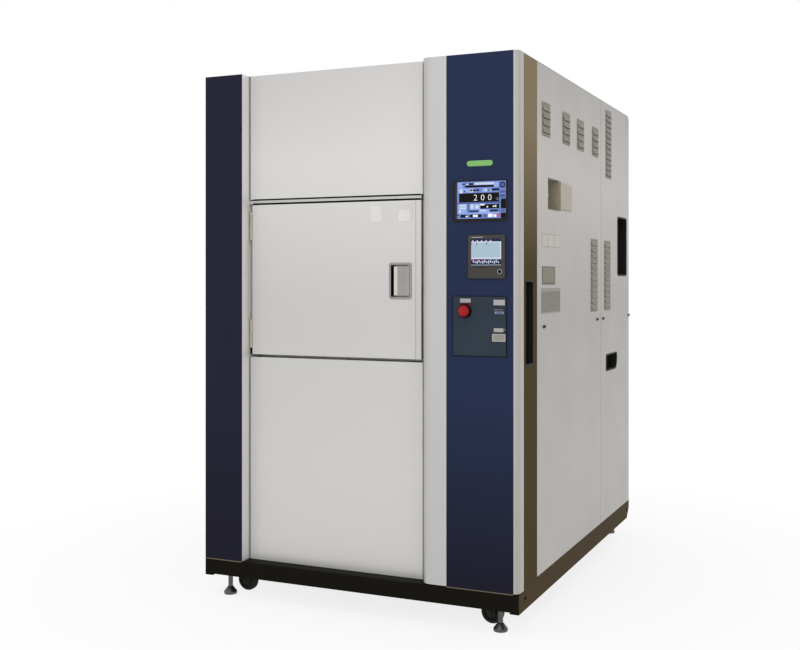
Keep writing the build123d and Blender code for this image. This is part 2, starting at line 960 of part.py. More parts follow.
def insulation():
    """Insulation block with the hot zone above, the test area and the cold zone below."""
    outer = block(
        test_left - shell_thickness,
        test_right + shell_thickness,
        surround_back,
        insulation_back,
        cold_low - shell_thickness,
        hot_high + shell_thickness,
    )
    test_room = block(
        test_left - liner_sheet,
        test_right + liner_sheet,
        surround_back,
        liner_back,
        test_low - liner_sheet,
        test_high + liner_sheet,
    )
    rooms = test_room
    for low, high in ((hot_low - zone_throat, hot_high), (cold_low, cold_high + zone_throat)):
        rooms = rooms + block(test_left, test_right, zone_front, test_back, low, high)
    rooms = rooms + duct_box(liner_sheet, cold_high, hot_low)
    body = outer - rooms
    for z in (hot_low + zone_height / 2, cold_low + zone_height / 2):
        passage = fan_shaft_radius + shaft_passage
        body = body - rod_y(chamber_x, test_back, insulation_back, z, passage)
    return body


def fan(zone_low):
    """Radial fan with a back disc, blades, front ring and its shaft to the motor."""
    z = zone_low + zone_height / 2
    y_back = test_back - fan_wall_gap
    y_front = y_back - fan_depth
    shaft_end = insulation_back + motor_length / 2
    body = rod_y(chamber_x, y_back - fan_disc, y_back, z, fan_radius)
    body = body + rod_y(chamber_x, y_front - 2 * fan_disc, y_back, z, fan_hub_radius)
    body = body + rod_y(chamber_x, y_back, shaft_end, z, fan_shaft_radius)
    ring = Circle(fan_radius) - Circle(fan_radius - fan_ring)
    body = body + plate_xz(Pos(chamber_x, z) * ring, y_front, y_front + fan_disc)
    blade = Rot(0, 0, blade_slant) * Rectangle(blade_length, blade_sheet)
    for index in range(fan_blades):
        turn = Rot(0, 0, index * 360 / fan_blades)
        outline = Pos(chamber_x, z) * turn * Pos(fan_radius - fan_hub_radius - blade_tip_gap, 0) * blade
        body = body + plate_xz(outline, y_front, y_back)
    return body


def fan_motors():
    """Two flanged motors behind the insulation, bored for the fan shafts."""
    motors = []
    y = insulation_back
    for z in (hot_low + zone_height / 2, cold_low + zone_height / 2):
        flange_back = y + motor_flange_sheet
        motor = rod_y(chamber_x, y, flange_back, z, motor_radius + motor_flange)
        motor = motor + rod_y(chamber_x, flange_back, y + motor_length, z, motor_radius)
        bore_end = y + motor_length / 2 + motor_flange_sheet
        motors.append(motor - rod_y(chamber_x, y, bore_end, z, fan_shaft_radius + run_gap))
    return group(motors)


def heater_coil():
    """Tubular heater bent to and fro across the hot zone, held by two end clips."""
    half = coil_span / 2
    y = zone_front + coil_setback
    z_top = hot_low + zone_height / 2 + coil_pitch * (coil_runs - 1) / 2
    tube = None
    for run in range(coil_runs):
        z = z_top - run * coil_pitch
        straight = rod_x(chamber_x - half, chamber_x + half, y, z, coil_radius)
        tube = straight if tube is None else tube + straight
        if run < coil_runs - 1:
            side = 1 if run % 2 == 0 else -1
            x_end = chamber_x + side * half
            bend_axis = Axis((x_end, y, z - coil_pitch / 2), (0, side, 0))
            end_face = Plane(origin=(x_end, y, z), z_dir=(side, 0, 0)) * Circle(coil_radius)
            tube = tube + revolve(end_face, bend_axis, 180)
    clips = []
    for side in (-1, 1):
        x = chamber_x + side * (half - clip_inset)
        clip = block(
            x - clip_width / 2,
            x + clip_width / 2,
            y + coil_radius + seat_gap,
            y + coil_radius + clip_sheet,
            hot_low - zone_throat,
            hot_high,
        )
        clips.append(clip)
    return group([tube] + clips)


def evaporator_coil():
    """Finned evaporator in the cold zone, standing on its side plates."""
    y = zone_front + evaporator_setback
    half = coil_span / 2
    pitch = coil_span / (evaporator_fins - 1)
    thin = evaporator_fin_sheet / 2
    coil = None
    for index in range(evaporator_fins):
        x = chamber_x - half + index * pitch
        lift = 0 if index in (0, evaporator_fins - 1) else evaporator_fin_lift
        low = cold_low + lift
        high = cold_low + evaporator_height
        fin = block(x - thin, x + thin, y, y + evaporator_depth, low, high)
        coil = fin if coil is None else coil + fin
    reach = half + evaporator_tube_end
    for row in range(evaporator_tubes):
        z = cold_low + evaporator_tube_first + row * evaporator_tube_pitch
        tube_y = y + evaporator_depth / 2
        tube = rod_x(chamber_x - reach, chamber_x + reach, tube_y, z, evaporator_tube_radius)
        coil = coil + tube
    return coil


def specimen_shelf():
    """Wire shelf that lifts off its two rails."""
    radius = shelf_wire / 2
    z = test_low + shelf_lift + seat_gap + radius
    x_low = test_left + shelf_side_gap
    x_high = test_right - shelf_side_gap
    y_low = surround_back + shelf_end
    y_high = test_back - shelf_end
    shelf = rod_x(x_low, x_high, y_low, z, radius) + rod_x(x_low, x_high, y_high, z, radius)
    pitch = (x_high - x_low - shelf_wire) / (shelf_bars - 1)
    for index in range(shelf_bars):
        shelf = shelf + rod_y(x_low + radius + index * pitch, y_low, y_high, z, radius)
    return shelf


def hinge_half(level, on_door):
    """Half of a lift-off hinge: the lower frame half with the pin, or the upper door half."""
    low = level - hinge_height / 2
    high = level + hinge_height / 2
    middle = level
    y_leaf = hinge_y + leaf_standoff
    if on_door:
        z_low, z_high = middle + seat_gap / 2, high
        x_low, x_high = hinge_x, door_left
        leaf_low, leaf_high = door_left - leaf_sheet, door_left
    else:
        z_low, z_high = low, middle - seat_gap / 2
        x_low, x_high = middle_left, hinge_x
        leaf_low, leaf_high = middle_left, middle_left + leaf_sheet
    outline = Pos(hinge_x, hinge_y) * Circle(knuckle_radius)
    outline = outline + patch(x_low, x_high, y_leaf, y_leaf + leaf_tie)
    outline = outline + patch(leaf_low, leaf_high, y_leaf, y_leaf + leaf_depth)
    half = plate_xy(outline, z_low, z_high)
    if on_door:
        return half - rod_z(hinge_x, hinge_y, z_low, z_high, door_pin_radius + run_gap)
    return half + rod_z(hinge_x, hinge_y, z_high, high - pin_drop, door_pin_radius)


def door_skin():
    """Outer sheet of the door, the frame behind its edges, and the strip on the free edge."""
    face_outline = patch(door_left, skin_right, door_low, door_high)
    inner = patch(door_left + sheet, skin_right - sheet, door_low + sheet, door_high - sheet)
    face = plate_xz(face_outline, middle_front, middle_front + sheet)
    edge = plate_xz(face_outline - inner, middle_front + sheet, door_back)
    strip_left = skin_right + edge_groove
    strip_outer = patch(strip_left, door_right, door_low, door_high)
    strip_inner = patch(strip_left + sheet, door_right - sheet, door_low + sheet, door_high - sheet)
    strip = plate_xz(strip_outer, middle_front, door_back)
    strip = strip - plate_xz(strip_inner, middle_front + sheet, door_back)
    cup_hole = cup_space(cup_wall + hole_gap, middle_front, cup_back)
    bolt_hole = bolt_space(hole_gap, cup_right, door_right)
    return group([face - cup_hole, edge - bolt_hole, strip - bolt_hole])


def cup_space(outset, y_low, y_high):
    """Block over the handle's cup, larger by an outset in X and Z."""
    outline = patch(
        cup_left - outset,
        cup_right + outset,
        cup_low - outset,
        cup_high + outset,
        bezel_corner - bezel_rim + cup_wall + outset,
    )
    return plate_xz(outline, y_low, y_high)


def bolt_space(outset, x_low, x_high):
    """Block along the latch bolt's path, larger by an outset in Y and Z."""
    return block(
        x_low,
        x_high,
        arm_tip_y - bolt_depth / 2 - outset,
        arm_tip_y + bolt_depth / 2 + outset,
        bezel_level - bolt_height / 2 - outset,
        bezel_level + bolt_height / 2 + outset,
    )


def door_core():
    """Insulated core of the door with its inner panel and the plug that enters the test area."""
    core = block(
        door_left + sheet,
        skin_right - sheet,
        middle_front + sheet,
        door_back,
        door_low + sheet,
        door_high - sheet,
    )
    plug_outline = patch(
        test_left + plug_gap,
        test_right - plug_gap,
        test_low + plug_gap,
        test_high - plug_gap,
        plug_gap,
    )
    core = core + plate_xz(plug_outline, door_back, door_back + plug_depth)
    pocket = cup_space(cup_wall + hole_gap, middle_front, cup_back + hole_gap)
    return core - pocket - bolt_space(hole_gap, cup_right, skin_right)


def door_gasket():
    """Round-edged seal ring on the back of the door."""
    def ring_outline(margin, corner):
        """Outline round the test area at a margin."""
        return patch(
            test_left - margin, test_right + margin, test_low - margin, test_high + margin, corner
        )

    outer = plate_xz(ring_outline(gasket_margin + gasket_width, 30), door_back, gasket_back)
    inner = plate_xz(ring_outline(gasket_margin, 30 - gasket_width), door_back, gasket_back)
    ring = outer - inner
    rim = ring.faces().sort_by(Axis.Y)[-1].edges()
    return fillet(rim, gasket_thickness * 0.4)


def handle_bezel():
    """Bezel flange and the cup behind it, bored for the paddle's pin and open for the bolt."""
    flange_outline = patch(bezel_left, bezel_right, bezel_low, bezel_high, bezel_corner)
    flange = plate_xz(flange_outline, middle_front - bezel_proud, middle_front)
    flange = chamfer(flange.faces().sort_by(Axis.Y)[0].edges(), bezel_proud * 0.6)
    flange = flange - cup_space(0, middle_front - bezel_proud, middle_front)
    cup = cup_space(cup_wall, middle_front, cup_back)
    cup = cup - cup_space(0, middle_front, cup_back - cup_wall)
    bore = paddle_pin_radius + run_gap
    cup = cup - rod_z(pivot_x, pivot_y, cup_low - cup_wall, cup_high + cup_wall, bore)
    return group([flange, cup - bolt_space(hole_gap, cup_right, cup_right + cup_wall)])


def handle_paddle():
    """Paddle with a round nose, its pin, and the arm that draws the bolt."""
    y_face = middle_front - bezel_proud / 2
    nose = paddle_thickness / 2
    low = cup_low + paddle_margin
    high = cup_high - paddle_margin
    x_nose = cup_left + finger_slot + nose
    outline = patch(x_nose, pivot_x, y_face, y_face + paddle_thickness)
    outline = outline + Pos(x_nose, y_face + nose) * Circle(nose)
    outline = outline + Pos(pivot_x, pivot_y) * Circle(pivot_y - y_face)
    paddle = plate_xy(outline, low, high)
    hollow = patch(x_nose + nose, pivot_x - 10, y_face + 3, y_face + paddle_thickness)
    paddle = paddle - plate_xy(hollow, low + 4, high - 4)
    paddle = paddle + rod_z(
        pivot_x, pivot_y, cup_low - cup_wall, cup_high + cup_wall, paddle_pin_radius
    )
    arm_side = arm_tip_radius - 1
    arm = patch(pivot_x - arm_side, pivot_x + arm_side, pivot_y, arm_tip_y)
    arm = arm + Pos(pivot_x, arm_tip_y) * Circle(arm_tip_radius)
    arm_half = arm_thickness / 2
    return paddle + plate_xy(arm, bezel_level - arm_half, bezel_level + arm_half)


def latch_bolt():
    """Bolt with a slot for the paddle's arm and a rounded nose at the door's edge."""
    tail = pivot_x - arm_tip_radius - bolt_tail
    nose = door_right + bolt_proud
    y_low = arm_tip_y - bolt_depth / 2
    y_high = arm_tip_y + bolt_depth / 2
    outline = patch(tail, nose - bolt_depth / 2, y_low, y_high)
    outline = outline + Pos(nose - bolt_depth / 2, arm_tip_y) * Circle(bolt_depth / 2)
    bolt = plate_xy(outline, bezel_level - bolt_height / 2, bezel_level + bolt_height / 2)
    slot_half = arm_tip_radius + 1.5
    slot_tall = arm_thickness / 2 + 1
    slot = block(
        pivot_x - slot_half,
        pivot_x + slot_half,
        y_low,
        y_high,
        bezel_level - slot_tall,
        bezel_level + slot_tall,
    )
    return bolt - slot


def instrument_patch(place, outset=0.0, corner=0.0):
    """Outline of an instrument on the front, larger by an outset."""
    x_from, z_low, wide, tall = place
    x_low = inlay_x + x_from
    return patch(
        x_low - outset, x_low + wide + outset, z_low - outset, z_low + tall + outset, corner
    )


def fascia_holes(y_low, y_high):
    """Cut-outs for the instruments through the column's face."""
    holes = plate_xz(instrument_patch(touch_place, -touch_border), y_low, y_high)
    holes = holes + plate_xz(instrument_patch(recorder_place, -touch_border), y_low, y_high)
    holes = holes + plate_xz(instrument_patch(lamp_place, -lamp_border), y_low, y_high)
    stop_x, stop_z = stop_place()
    holes = holes + rod_y(stop_x, y_low, y_high, stop_z, stop_stem_radius + 4)
    lock_x, lock_z = lock_place()
    return holes + rod_y(lock_x, y_low, y_high, lock_z, lock_radius + 1)


def stop_place():
    """Middle of the stop button in X and Z."""
    x_from, z_low, wide, tall = switch_place
    return inlay_x + x_from + stop_inset, z_low + tall - stop_drop


def lock_place():
    """Middle of the column's lock in X and Z."""
    x_from, z_low, wide, tall = switch_place
    return inlay_x + x_from + wide - lock_inset, z_low + lock_level


def control_fascia():
    """Folded column cover with a wide round left edge and a smaller round right edge."""
    def section(inset, y_open):
        """Horizontal section of the cover, drawn in by an inset."""
        x_low = control_left + inset
        x_high = right - inset
        y_face = front + inset
        r_left = fascia_left_radius - inset
        r_right = fascia_right_radius - inset
        return make_face(
            [
                Line((x_low, y_open), (x_low, y_face + r_left)),
                RadiusArc((x_low, y_face + r_left), (x_low + r_left, y_face), -r_left),
                Line((x_low + r_left, y_face), (x_high - r_right, y_face)),
                RadiusArc((x_high - r_right, y_face), (x_high, y_face + r_right), -r_right),
                Line((x_high, y_face + r_right), (x_high, y_open)),
                Line((x_high, y_open), (x_low, y_open)),
            ]
        )

    cover = plate_xy(section(0, fascia_back), fascia_low, height)
    cover = cover - plate_xy(section(sheet, fascia_back), fascia_low + sheet, height - sheet)
    inlay_seat = block(
        inlay_x - seat_gap,
        inlay_x + inlay_width + seat_gap,
        front,
        front + inlay_sheet,
        fascia_low,
        height,
    )
    backing = block(
        inlay_x - backing_overlap,
        inlay_x + inlay_width + backing_overlap,
        front + sheet,
        front + sheet + inlay_sheet,
        fascia_low + sheet,
        height - sheet,
    )
    cover = cover + backing - inlay_seat
    cover = cover - fascia_holes(front, front + sheet + inlay_sheet)
    notch_reach = fascia_axis_y + fascia_notch
    for level in fascia_hinge_levels:
        middle = level + seat_gap / 2
        high = level + fascia_hinge_height / 2
        cover = cover - block(
            control_left,
            control_left + sheet,
            fascia_back - notch_reach,
            fascia_back,
            level - fascia_hinge_height / 2 - shut_gap,
            high + shut_gap,
        )
        knuckle = rod_z(fascia_hinge_x, fascia_hinge_y, middle, high, fascia_knuckle_radius)
        leaf = block(
            control_left + sheet,
            fascia_hinge_x - fascia_pin_radius,
            fascia_back - notch_reach - fascia_leaf,
            fascia_hinge_y,
            middle,
            high,
        )
        bore = rod_z(fascia_hinge_x, fascia_hinge_y, middle, high, fascia_pin_radius + run_gap)
        cover = cover + (knuckle + leaf - bore)
    return cover


def control_inlay():
    """Blue face of the control column with the instrument cut-outs."""
    outline = patch(inlay_x, inlay_x + inlay_width, fascia_low, height)
    inlay = plate_xz(outline, front, front + inlay_sheet)
    return inlay - fascia_holes(front, front + inlay_sheet)


def status_lamp():
    """Long lamp lens with round ends and a body through the column's face."""
    half = lamp_place[3] / 2
    lens = plate_xz(instrument_patch(lamp_place, 0, half - 0.01), front - lamp_proud, front)
    rim = lens.faces().sort_by(Axis.Y)[0].edges()
    lens = fillet(rim, lamp_proud * 0.6)
    body = instrument_patch(lamp_place, -lamp_border - hole_gap)
    return lens + plate_xz(body, front, front + lamp_depth)


def touch_panel():
    """Operator panel with its bezel on the column and its body behind."""
    panel = plate_xz(instrument_patch(touch_place, 0, 4), front - touch_proud, front)
    rim = panel.faces().sort_by(Axis.Y)[0].edges()
    panel = chamfer(rim, touch_proud * 0.4)
    seat = instrument_patch(touch_place, -touch_border)
    panel = panel - plate_xz(seat, front - touch_proud, front - touch_proud + screen_sheet)
    body = instrument_patch(touch_place, -touch_border - hole_gap)
    return panel + plate_xz(body, front, front + touch_depth)


def recorder_screen_patch():
    """Outline of the recorder's screen, high in its face."""
    x_from, z_low, wide, tall = recorder_place
    x_low = inlay_x + x_from + (wide - recorder_screen_width) / 2
    z_high = z_low + tall - screen_head
    return patch(x_low, x_low + recorder_screen_width, z_high - recorder_screen_height, z_high)


def button_place():
    """Middle of the recorder's button in X and Z."""
    x_from, z_low, wide, tall = recorder_place
    return inlay_x + x_from + wide - button_inset, z_low + button_level


def chart_recorder():
    """Recorder with a raised bezel, a shallow door line, a button well and its body behind."""
    face = front - recorder_proud
    body = plate_xz(instrument_patch(recorder_place, 0, 3), face, front)
    rim = body.faces().sort_by(Axis.Y)[0].edges()
    body = chamfer(rim, 2)
    body = body - plate_xz(recorder_screen_patch(), face, face + screen_sheet)
    x_from, z_low, wide, tall = recorder_place
    x_low = inlay_x + x_from + door_line_end
    x_high = inlay_x + x_from + wide - door_line_end
    line_z = z_low + door_line_level
    line = patch(x_low, x_high, line_z, line_z + door_line)
    body = body - plate_xz(line, face, face + 1)
    behind = instrument_patch(recorder_place, -touch_border - hole_gap)
    body = body + plate_xz(behind, front, front + recorder_depth)
    x, z = button_place()
    return body - rod_y(x, face, face + button_well, z, button_radius + button_gap)


def recorder_button():
    """Round push button in the recorder's well."""
    face = front - recorder_proud
    x, z = button_place()
    seat = face + button_well - button_travel - seat_gap
    button = rod_y(x, face - button_travel, seat, z, button_radius)
    rim = button.faces().sort_by(Axis.Y)[0].edges()
    return fillet(rim, 0.8)


def display_screens():
    """Glass panes of the operator panel and the recorder."""
    touch = plate_xz(
        instrument_patch(touch_place, -touch_border),
        front - touch_proud,
        front - touch_proud + screen_sheet,
    )
    face = front - recorder_proud
    recorder = plate_xz(recorder_screen_patch(), face, face + screen_sheet)
    return group([touch, recorder])


def meter(box, proud):
    """Raised instrument on the switch panel, from its place and how far it stands proud."""
    x_from, z_low, wide, tall = switch_place
    from_edge, level, meter_wide, meter_tall = box
    x_high = inlay_x + x_from + wide - from_edge
    low = z_low + level
    outline = patch(x_high - meter_wide, x_high, low, low + meter_tall)
    return plate_xz(outline, switch_front - proud, switch_front)


def switch_panel():
    """Switch plate with the stop button's collar, two meters and holes for what passes through."""
    plate = plate_xz(instrument_patch(switch_place, 0, 2), switch_front, front)
    stop_x, stop_z = stop_place()
    collar_front = switch_front - stop_collar_height
    collar = rod_y(stop_x, collar_front, switch_front, stop_z, stop_collar_radius)
    collar = chamfer(collar.faces().sort_by(Axis.Y)[0].edges(), 2)
    body_radius = stop_stem_radius + stop_body_wall
    body = rod_y(stop_x, front, front + stop_body_depth, stop_z, body_radius)
    meters = meter(meter_box, meter_proud) + meter(counter_box, counter_proud)
    panel = plate + collar + body + meters
    bore = stop_stem_radius + run_gap
    panel = panel - rod_y(stop_x, collar_front, front + stop_body_depth - 5, stop_z, bore)
    lock_x, lock_z = lock_place()
    return panel - rod_y(lock_x, switch_front, front, lock_z, lock_radius - 1 + run_gap)


def estop_button():
    """Mushroom head on its stem, turned about its own axis."""
    x, z = stop_place()
    tip = stop_height
    base = stop_collar_height + stop_travel + hole_gap
    profile = Plane.XZ * Polygon(
        (0, -stop_stem_length),
        (stop_stem_radius, -stop_stem_length),
        (stop_stem_radius, base + stop_lip),
        (stop_radius - stop_lip, base),
        (stop_radius, base + stop_lip / 2),
        (stop_radius, tip - stop_crown),
        (stop_radius - stop_crown * 0.4, tip - stop_crown * 0.3),
        (stop_radius - stop_crown, tip),
        (0, tip),
        align=None,
    )
    return Pos(x, switch_front, z) * Rot(90, 0, 0) * revolve(profile, Axis.Z)


def fascia_lock():
    """Quarter-turn lock: slotted head, spindle and the tongue that swings behind the post."""
    x, z = lock_place()
    head_front = switch_front - lock_head
    head = rod_y(x, head_front, switch_front, z, lock_radius)
    half_slot = lock_slot / 2
    slot = block(
        x - half_slot,
        x + half_slot,
        head_front,
        head_front + lock_head / 2,
        z - lock_radius,
        z + lock_radius,
    )
    tongue_y = front + post_setback + beam_sheet + sheet
    spindle = rod_y(x, switch_front, tongue_y + sheet, z, lock_radius - 1)
    half = lock_tongue_width / 2
    tongue = block(x - half, x + half, tongue_y, tongue_y + sheet, z - lock_tongue, z + half)
    return head - slot + spindle + tongue


def grip_tray(place, deep, corner, big_corner=0.0):
    """Moulded finger tray set into the right side, with a lip round its mouth."""
    y_from, z_low, wide, tall = place
    y_low = front + y_from

    def outline(outset):
        """Outline of the tray, larger by an outset."""
        shape = patch(
            y_low - outset,
            y_low + wide + outset,
            z_low - outset,
            z_low + tall + outset,
            corner + outset,
        )
        if big_corner > 0:
            rear = y_low + wide + outset
            low = z_low - outset
            reach = big_corner + outset
            square = patch(rear - reach, rear, low, low + reach)
            round_part = Pos(rear - reach, low + reach) * Circle(reach)
            shape = shape - square + (square & round_part)
        return shape

    tray = plate_yz(outline(0), right - deep, right)
    tray = tray + plate_yz(outline(grip_lip), right, right + grip_lip_sheet)
    hollow = plate_yz(outline(-sheet), right - deep + sheet, right + grip_lip_sheet)
    return tray - hollow


def grip_pockets():
    """Finger tray in the corner post and two in the rear side panel."""
    return group(
        [
            grip_tray(post_grip, post_grip_depth, grip_corner - 4),
            grip_tray(rear_grip, side_grip_depth, grip_corner),
            grip_tray(low_grip, side_grip_depth, grip_corner - 4, low_grip[3] * 0.6),
        ]
    )


def vent_plate(wide, tall):
    """Vent plate in Y and Z with its back at X of zero and rows of pressed, downward louvres."""
    outline = patch(-wide / 2, wide / 2, -tall / 2, tall / 2, vent_corner)
    plate = plate_yz(outline, 0, vent_sheet)
    span = tall - 2 * vent_border
    count = int(span / louvre_pitch + 0.5)
    pitch = span / count
    rise = pitch * louvre_share
    half = wide / 2 - vent_border
    face = vent_sheet
    hoods = []
    hollows = []
    for index in range(count):
        top = tall / 2 - vent_border - index * pitch - (pitch - rise) / 2
        low = top - rise
        hood = Polygon((face, top), (face + louvre_proud, low), (face, low), align=None)
        hoods.append(plate_xz(hood, -half, half))
        hollow = Polygon(
            (0, low),
            (face + louvre_proud - louvre_sheet, low),
            (face - louvre_sheet, top),
            (0, top),
            align=None,
        )
        hollows.append(plate_xz(hollow, -half + louvre_sheet, half - louvre_sheet))
    return plate + hoods - hollows


def side_vent_grilles():
    """Vent plates on both sides of the cabinet."""
    plates = []
    for middle, wide, drop, tall in vents:
        y = front + middle
        z = height - drop - tall / 2
        plates.append(Pos(right, y, z) * vent_plate(wide, tall))
        plates.append(Pos(left, y, z) * Rot(0, 0, 180) * vent_plate(wide, tall))
    return group(plates)


def side_outline(y_low, y_high, z_low, inset):
    """Outline of a side panel, with the upper rear corner round where it meets the back."""
    shape = patch(y_low + inset, y_high - inset, z_low + inset, side_top - inset)
    if y_high < back - fold:
        return shape
    radius = roof_corner_radius - sheet - hole_gap - inset
    rear = y_high - inset
    top = side_top - inset
    square = patch(rear - radius, rear, top - radius, top)
    round_part = Pos(rear - radius, top - radius) * Circle(radius)
    return shape - square + (square & round_part)


def side_panel(y_low, y_high, side):
    """Folded side panel with cut-outs behind its vents."""
    face = side * width / 2
    x_sheet = sorted((face, face - side * sheet))
    x_fold = sorted((face, face - side * fold))
    panel = plate_yz(side_outline(y_low, y_high, side_panels_z, 0), x_fold[0], x_fold[1])
    inner_low, inner_high = sorted((face - side * sheet, face - side * fold))
    inner = side_outline(y_low, y_high, side_panels_z, sheet)
    panel = panel - plate_yz(inner, inner_low, inner_high)
    for middle, wide, drop, tall in vents:
        y = front + middle
        if y_low < y < y_high:
            hole = patch(
                y - wide / 2 + vent_border,
                y + wide / 2 - vent_border,
                height - drop - tall + vent_border,
                height - drop - vent_border,
            )
            panel = panel - plate_yz(hole, x_sheet[0], x_sheet[1])
    return panel


def place_hole(place, corner):
    """Cut through the right side's sheet for a piece set into it."""
    y_from, z_low, wide, tall = place
    outline = patch(
        front + y_from - hole_gap,
        front + y_from + wide + hole_gap,
        z_low - hole_gap,
        z_low + tall + hole_gap,
        corner + hole_gap if corner > 0 else 0,
    )
    return plate_yz(outline, right - sheet, right)


def right_front_side_panel():
    """Front panel of the right side, open for the breaker pocket."""
    panel = side_panel(side_panel_front, seam_y - shut_gap / 2, 1)
    return panel - place_hole(breaker_place, 0)


def right_rear_side_panel():
    """Rear panel of the right side, open for its two finger trays."""
    panel = side_panel(seam_y + shut_gap / 2, back - sheet - hole_gap, 1)
    return panel - place_hole(rear_grip, grip_corner) - place_hole(low_grip, grip_corner - 4)


def left_side_panels():
    """Front and rear panels of the left side."""
    return group(
        [
            side_panel(side_panel_front, seam_y - shut_gap / 2, -1),
            side_panel(seam_y + shut_gap / 2, back - sheet - hole_gap, -1),
        ]
    )


def breaker_pocket():
    """Recess with the breaker's body on its back wall and the cover's hinge eyes beside it."""
    y_from, z_low, wide, tall = breaker_place
    y_low = front + y_from
    y_high = y_low + wide
    z_high = z_low + tall
    tray = block(right - breaker_depth, right, y_low, y_high, z_low, z_high)
    tray = tray - block(
        right - breaker_depth + sheet,
        right,
        y_low + sheet,
        y_high - sheet,
        z_low + sheet,
        z_high - sheet,
    )
    y_mid = (y_low + y_high) / 2
    z_mid = (z_low + z_high) / 2
    x_back = right - breaker_depth + sheet
    body = block(
        x_back,
        x_back + breaker_body_depth,
        y_mid - breaker_body_width / 2,
        y_mid + breaker_body_width / 2,
        z_mid - breaker_body_height / 2,
        z_mid + breaker_body_height / 2,
    )
    axis_x, axis_z = toggle_axis()
    slot = block(
        axis_x - toggle_slot_depth,
        x_back + breaker_body_depth,
        y_mid - toggle_width / 2 - seat_gap,
        y_mid + toggle_width / 2 + seat_gap,
        axis_z - toggle_slot / 2,
        axis_z + toggle_slot / 2,
    )
    body = body - slot
    reach = toggle_pin_length / 2 + 1
    body = body - rod_y(axis_x, y_mid - reach, y_mid + reach, axis_z, toggle_pin_radius + run_gap)
    eyes = flap_eyes()
    return group([tray + body] + eyes)


def toggle_axis():
    """Axis of the breaker's toggle in X and Z."""
    y_from, z_low, wide, tall = breaker_place
    x_front = right - breaker_depth + sheet + breaker_body_depth
    return x_front - toggle_setback, z_low + tall / 2


def breaker_toggle():
    """Rocking toggle of the breaker with its cross pin, standing straight out."""
    y_from, z_low, wide, tall = breaker_place
    y_mid = front + y_from + wide / 2
    axis_x, axis_z = toggle_axis()
    half = toggle_width / 2
    thin = toggle_thickness / 2
    outline = Pos(axis_x, axis_z) * Circle(toggle_hub_radius)
    outline = outline + patch(axis_x, axis_x + toggle_length, axis_z - thin, axis_z + thin)
    lever = plate_xz(outline, y_mid - half, y_mid + half)
    reach = toggle_pin_length / 2
    return lever + rod_y(axis_x, y_mid - reach, y_mid + reach, axis_z, toggle_pin_radius)


def flap_axis():
    """Upright hinge axis of the breaker's cover in X and Y."""
    y_from, z_low, wide, tall = breaker_place
    return right + flap_standoff, front + y_from + wide + flap_axis_gap


def flap_eyes():
    """Two hinge eyes on the side panel, above and below the cover."""
    x, y = flap_axis()
    y_from, z_low, wide, tall = breaker_place
    z_mid = z_low + tall / 2
    eyes = []
    for side in (-1, 1):
        near = z_mid + side * (flap_height / 2 + seat_gap)
        far = near + side * eye_height
        low, high = sorted((near, far))
        eye = rod_z(x, y, low, high, flap_knuckle_radius)
        eye = eye + block(right, x, y - eye_sheet / 2, y + eye_sheet / 2, low, high)
        eyes.append(eye - rod_z(x, y, low, high, flap_pin_radius + run_gap))
    return eyes


def breaker_flap():
    """Flat cover with round free corners, swung back beside the breaker pocket."""
    x, y = flap_axis()
    y_from, z_low, wide, tall = breaker_place
    z_mid = z_low + tall / 2
    half = flap_height / 2
    outline = patch(y, y + flap_width, z_mid - half, z_mid + half, flap_corner)
    outline = outline + patch(y, y + 2 * flap_corner, z_mid - half, z_mid + half)
    flap = plate_yz(outline, x - flap_sheet / 2, x + flap_sheet / 2)
    curl = flap_knuckle_radius - flap_knuckle_gap
    flap = flap + rod_z(x, y, z_mid - half, z_mid + half, curl)
    reach = half + flap_pin_end
    return flap + rod_z(x, y, z_mid - reach, z_mid + reach, flap_pin_radius)


def back_panel():
    """Folded back panel with two banks of louvres and a hole for each connection."""
    x_low = left + sheet + fold
    x_high = right - sheet - fold
    z_high = height - roof_corner_radius - shut_gap
    outline = patch(x_low, x_high, side_panels_z, z_high)
    inner = patch(x_low + sheet, x_high - sheet, side_panels_z + sheet, z_high - sheet)
    panel = plate_xz(outline, back - fold, back)
    panel = panel - plate_xz(inner, back - fold, back - sheet)
    across = bank_width / 2 - bank_rim
    upright = bank_height / 2 - bank_rim
    for z in (side_panels_z + bank_low_gap, height - bank_high_gap):
        bank = Pos(0, back, z) * Rot(0, 0, 90) * vent_plate(bank_width, bank_height)
        hole = patch(-across, across, z - upright, z + upright)
        panel = panel - plate_xz(hole, back - sheet, back) + bank
    for x, radius in rear_ports():
        panel = panel - rod_y(x, back - sheet, back, port_z, radius + hole_gap)
    return panel


def rear_ports():
    """Places in X and radii of the rear connections: two water pipes and the supply gland."""
    pipe_x = left + port_inset
    return (
        (pipe_x, water_pipe_radius),
        (pipe_x + water_pipe_spacing, water_pipe_radius),
        (right - port_inset, gland_radius),
    )


def rear_connections():
    """Two capped water pipes and the supply gland, held by collars on the back panel."""
    pieces = []
    for x, radius in rear_ports():
        body = rod_y(x, back - port_reach, back + rear_stub, port_z, radius)
        collar = Pos(x, port_z) * RegularPolygon(radius + collar_rim, 6)
        body = body + plate_xz(collar, back, back + collar_thickness)
        bore = rod_y(x, back - port_bore_depth, back + rear_stub, port_z, radius - port_wall)
        pieces.append(body - bore)
    return group(pieces)


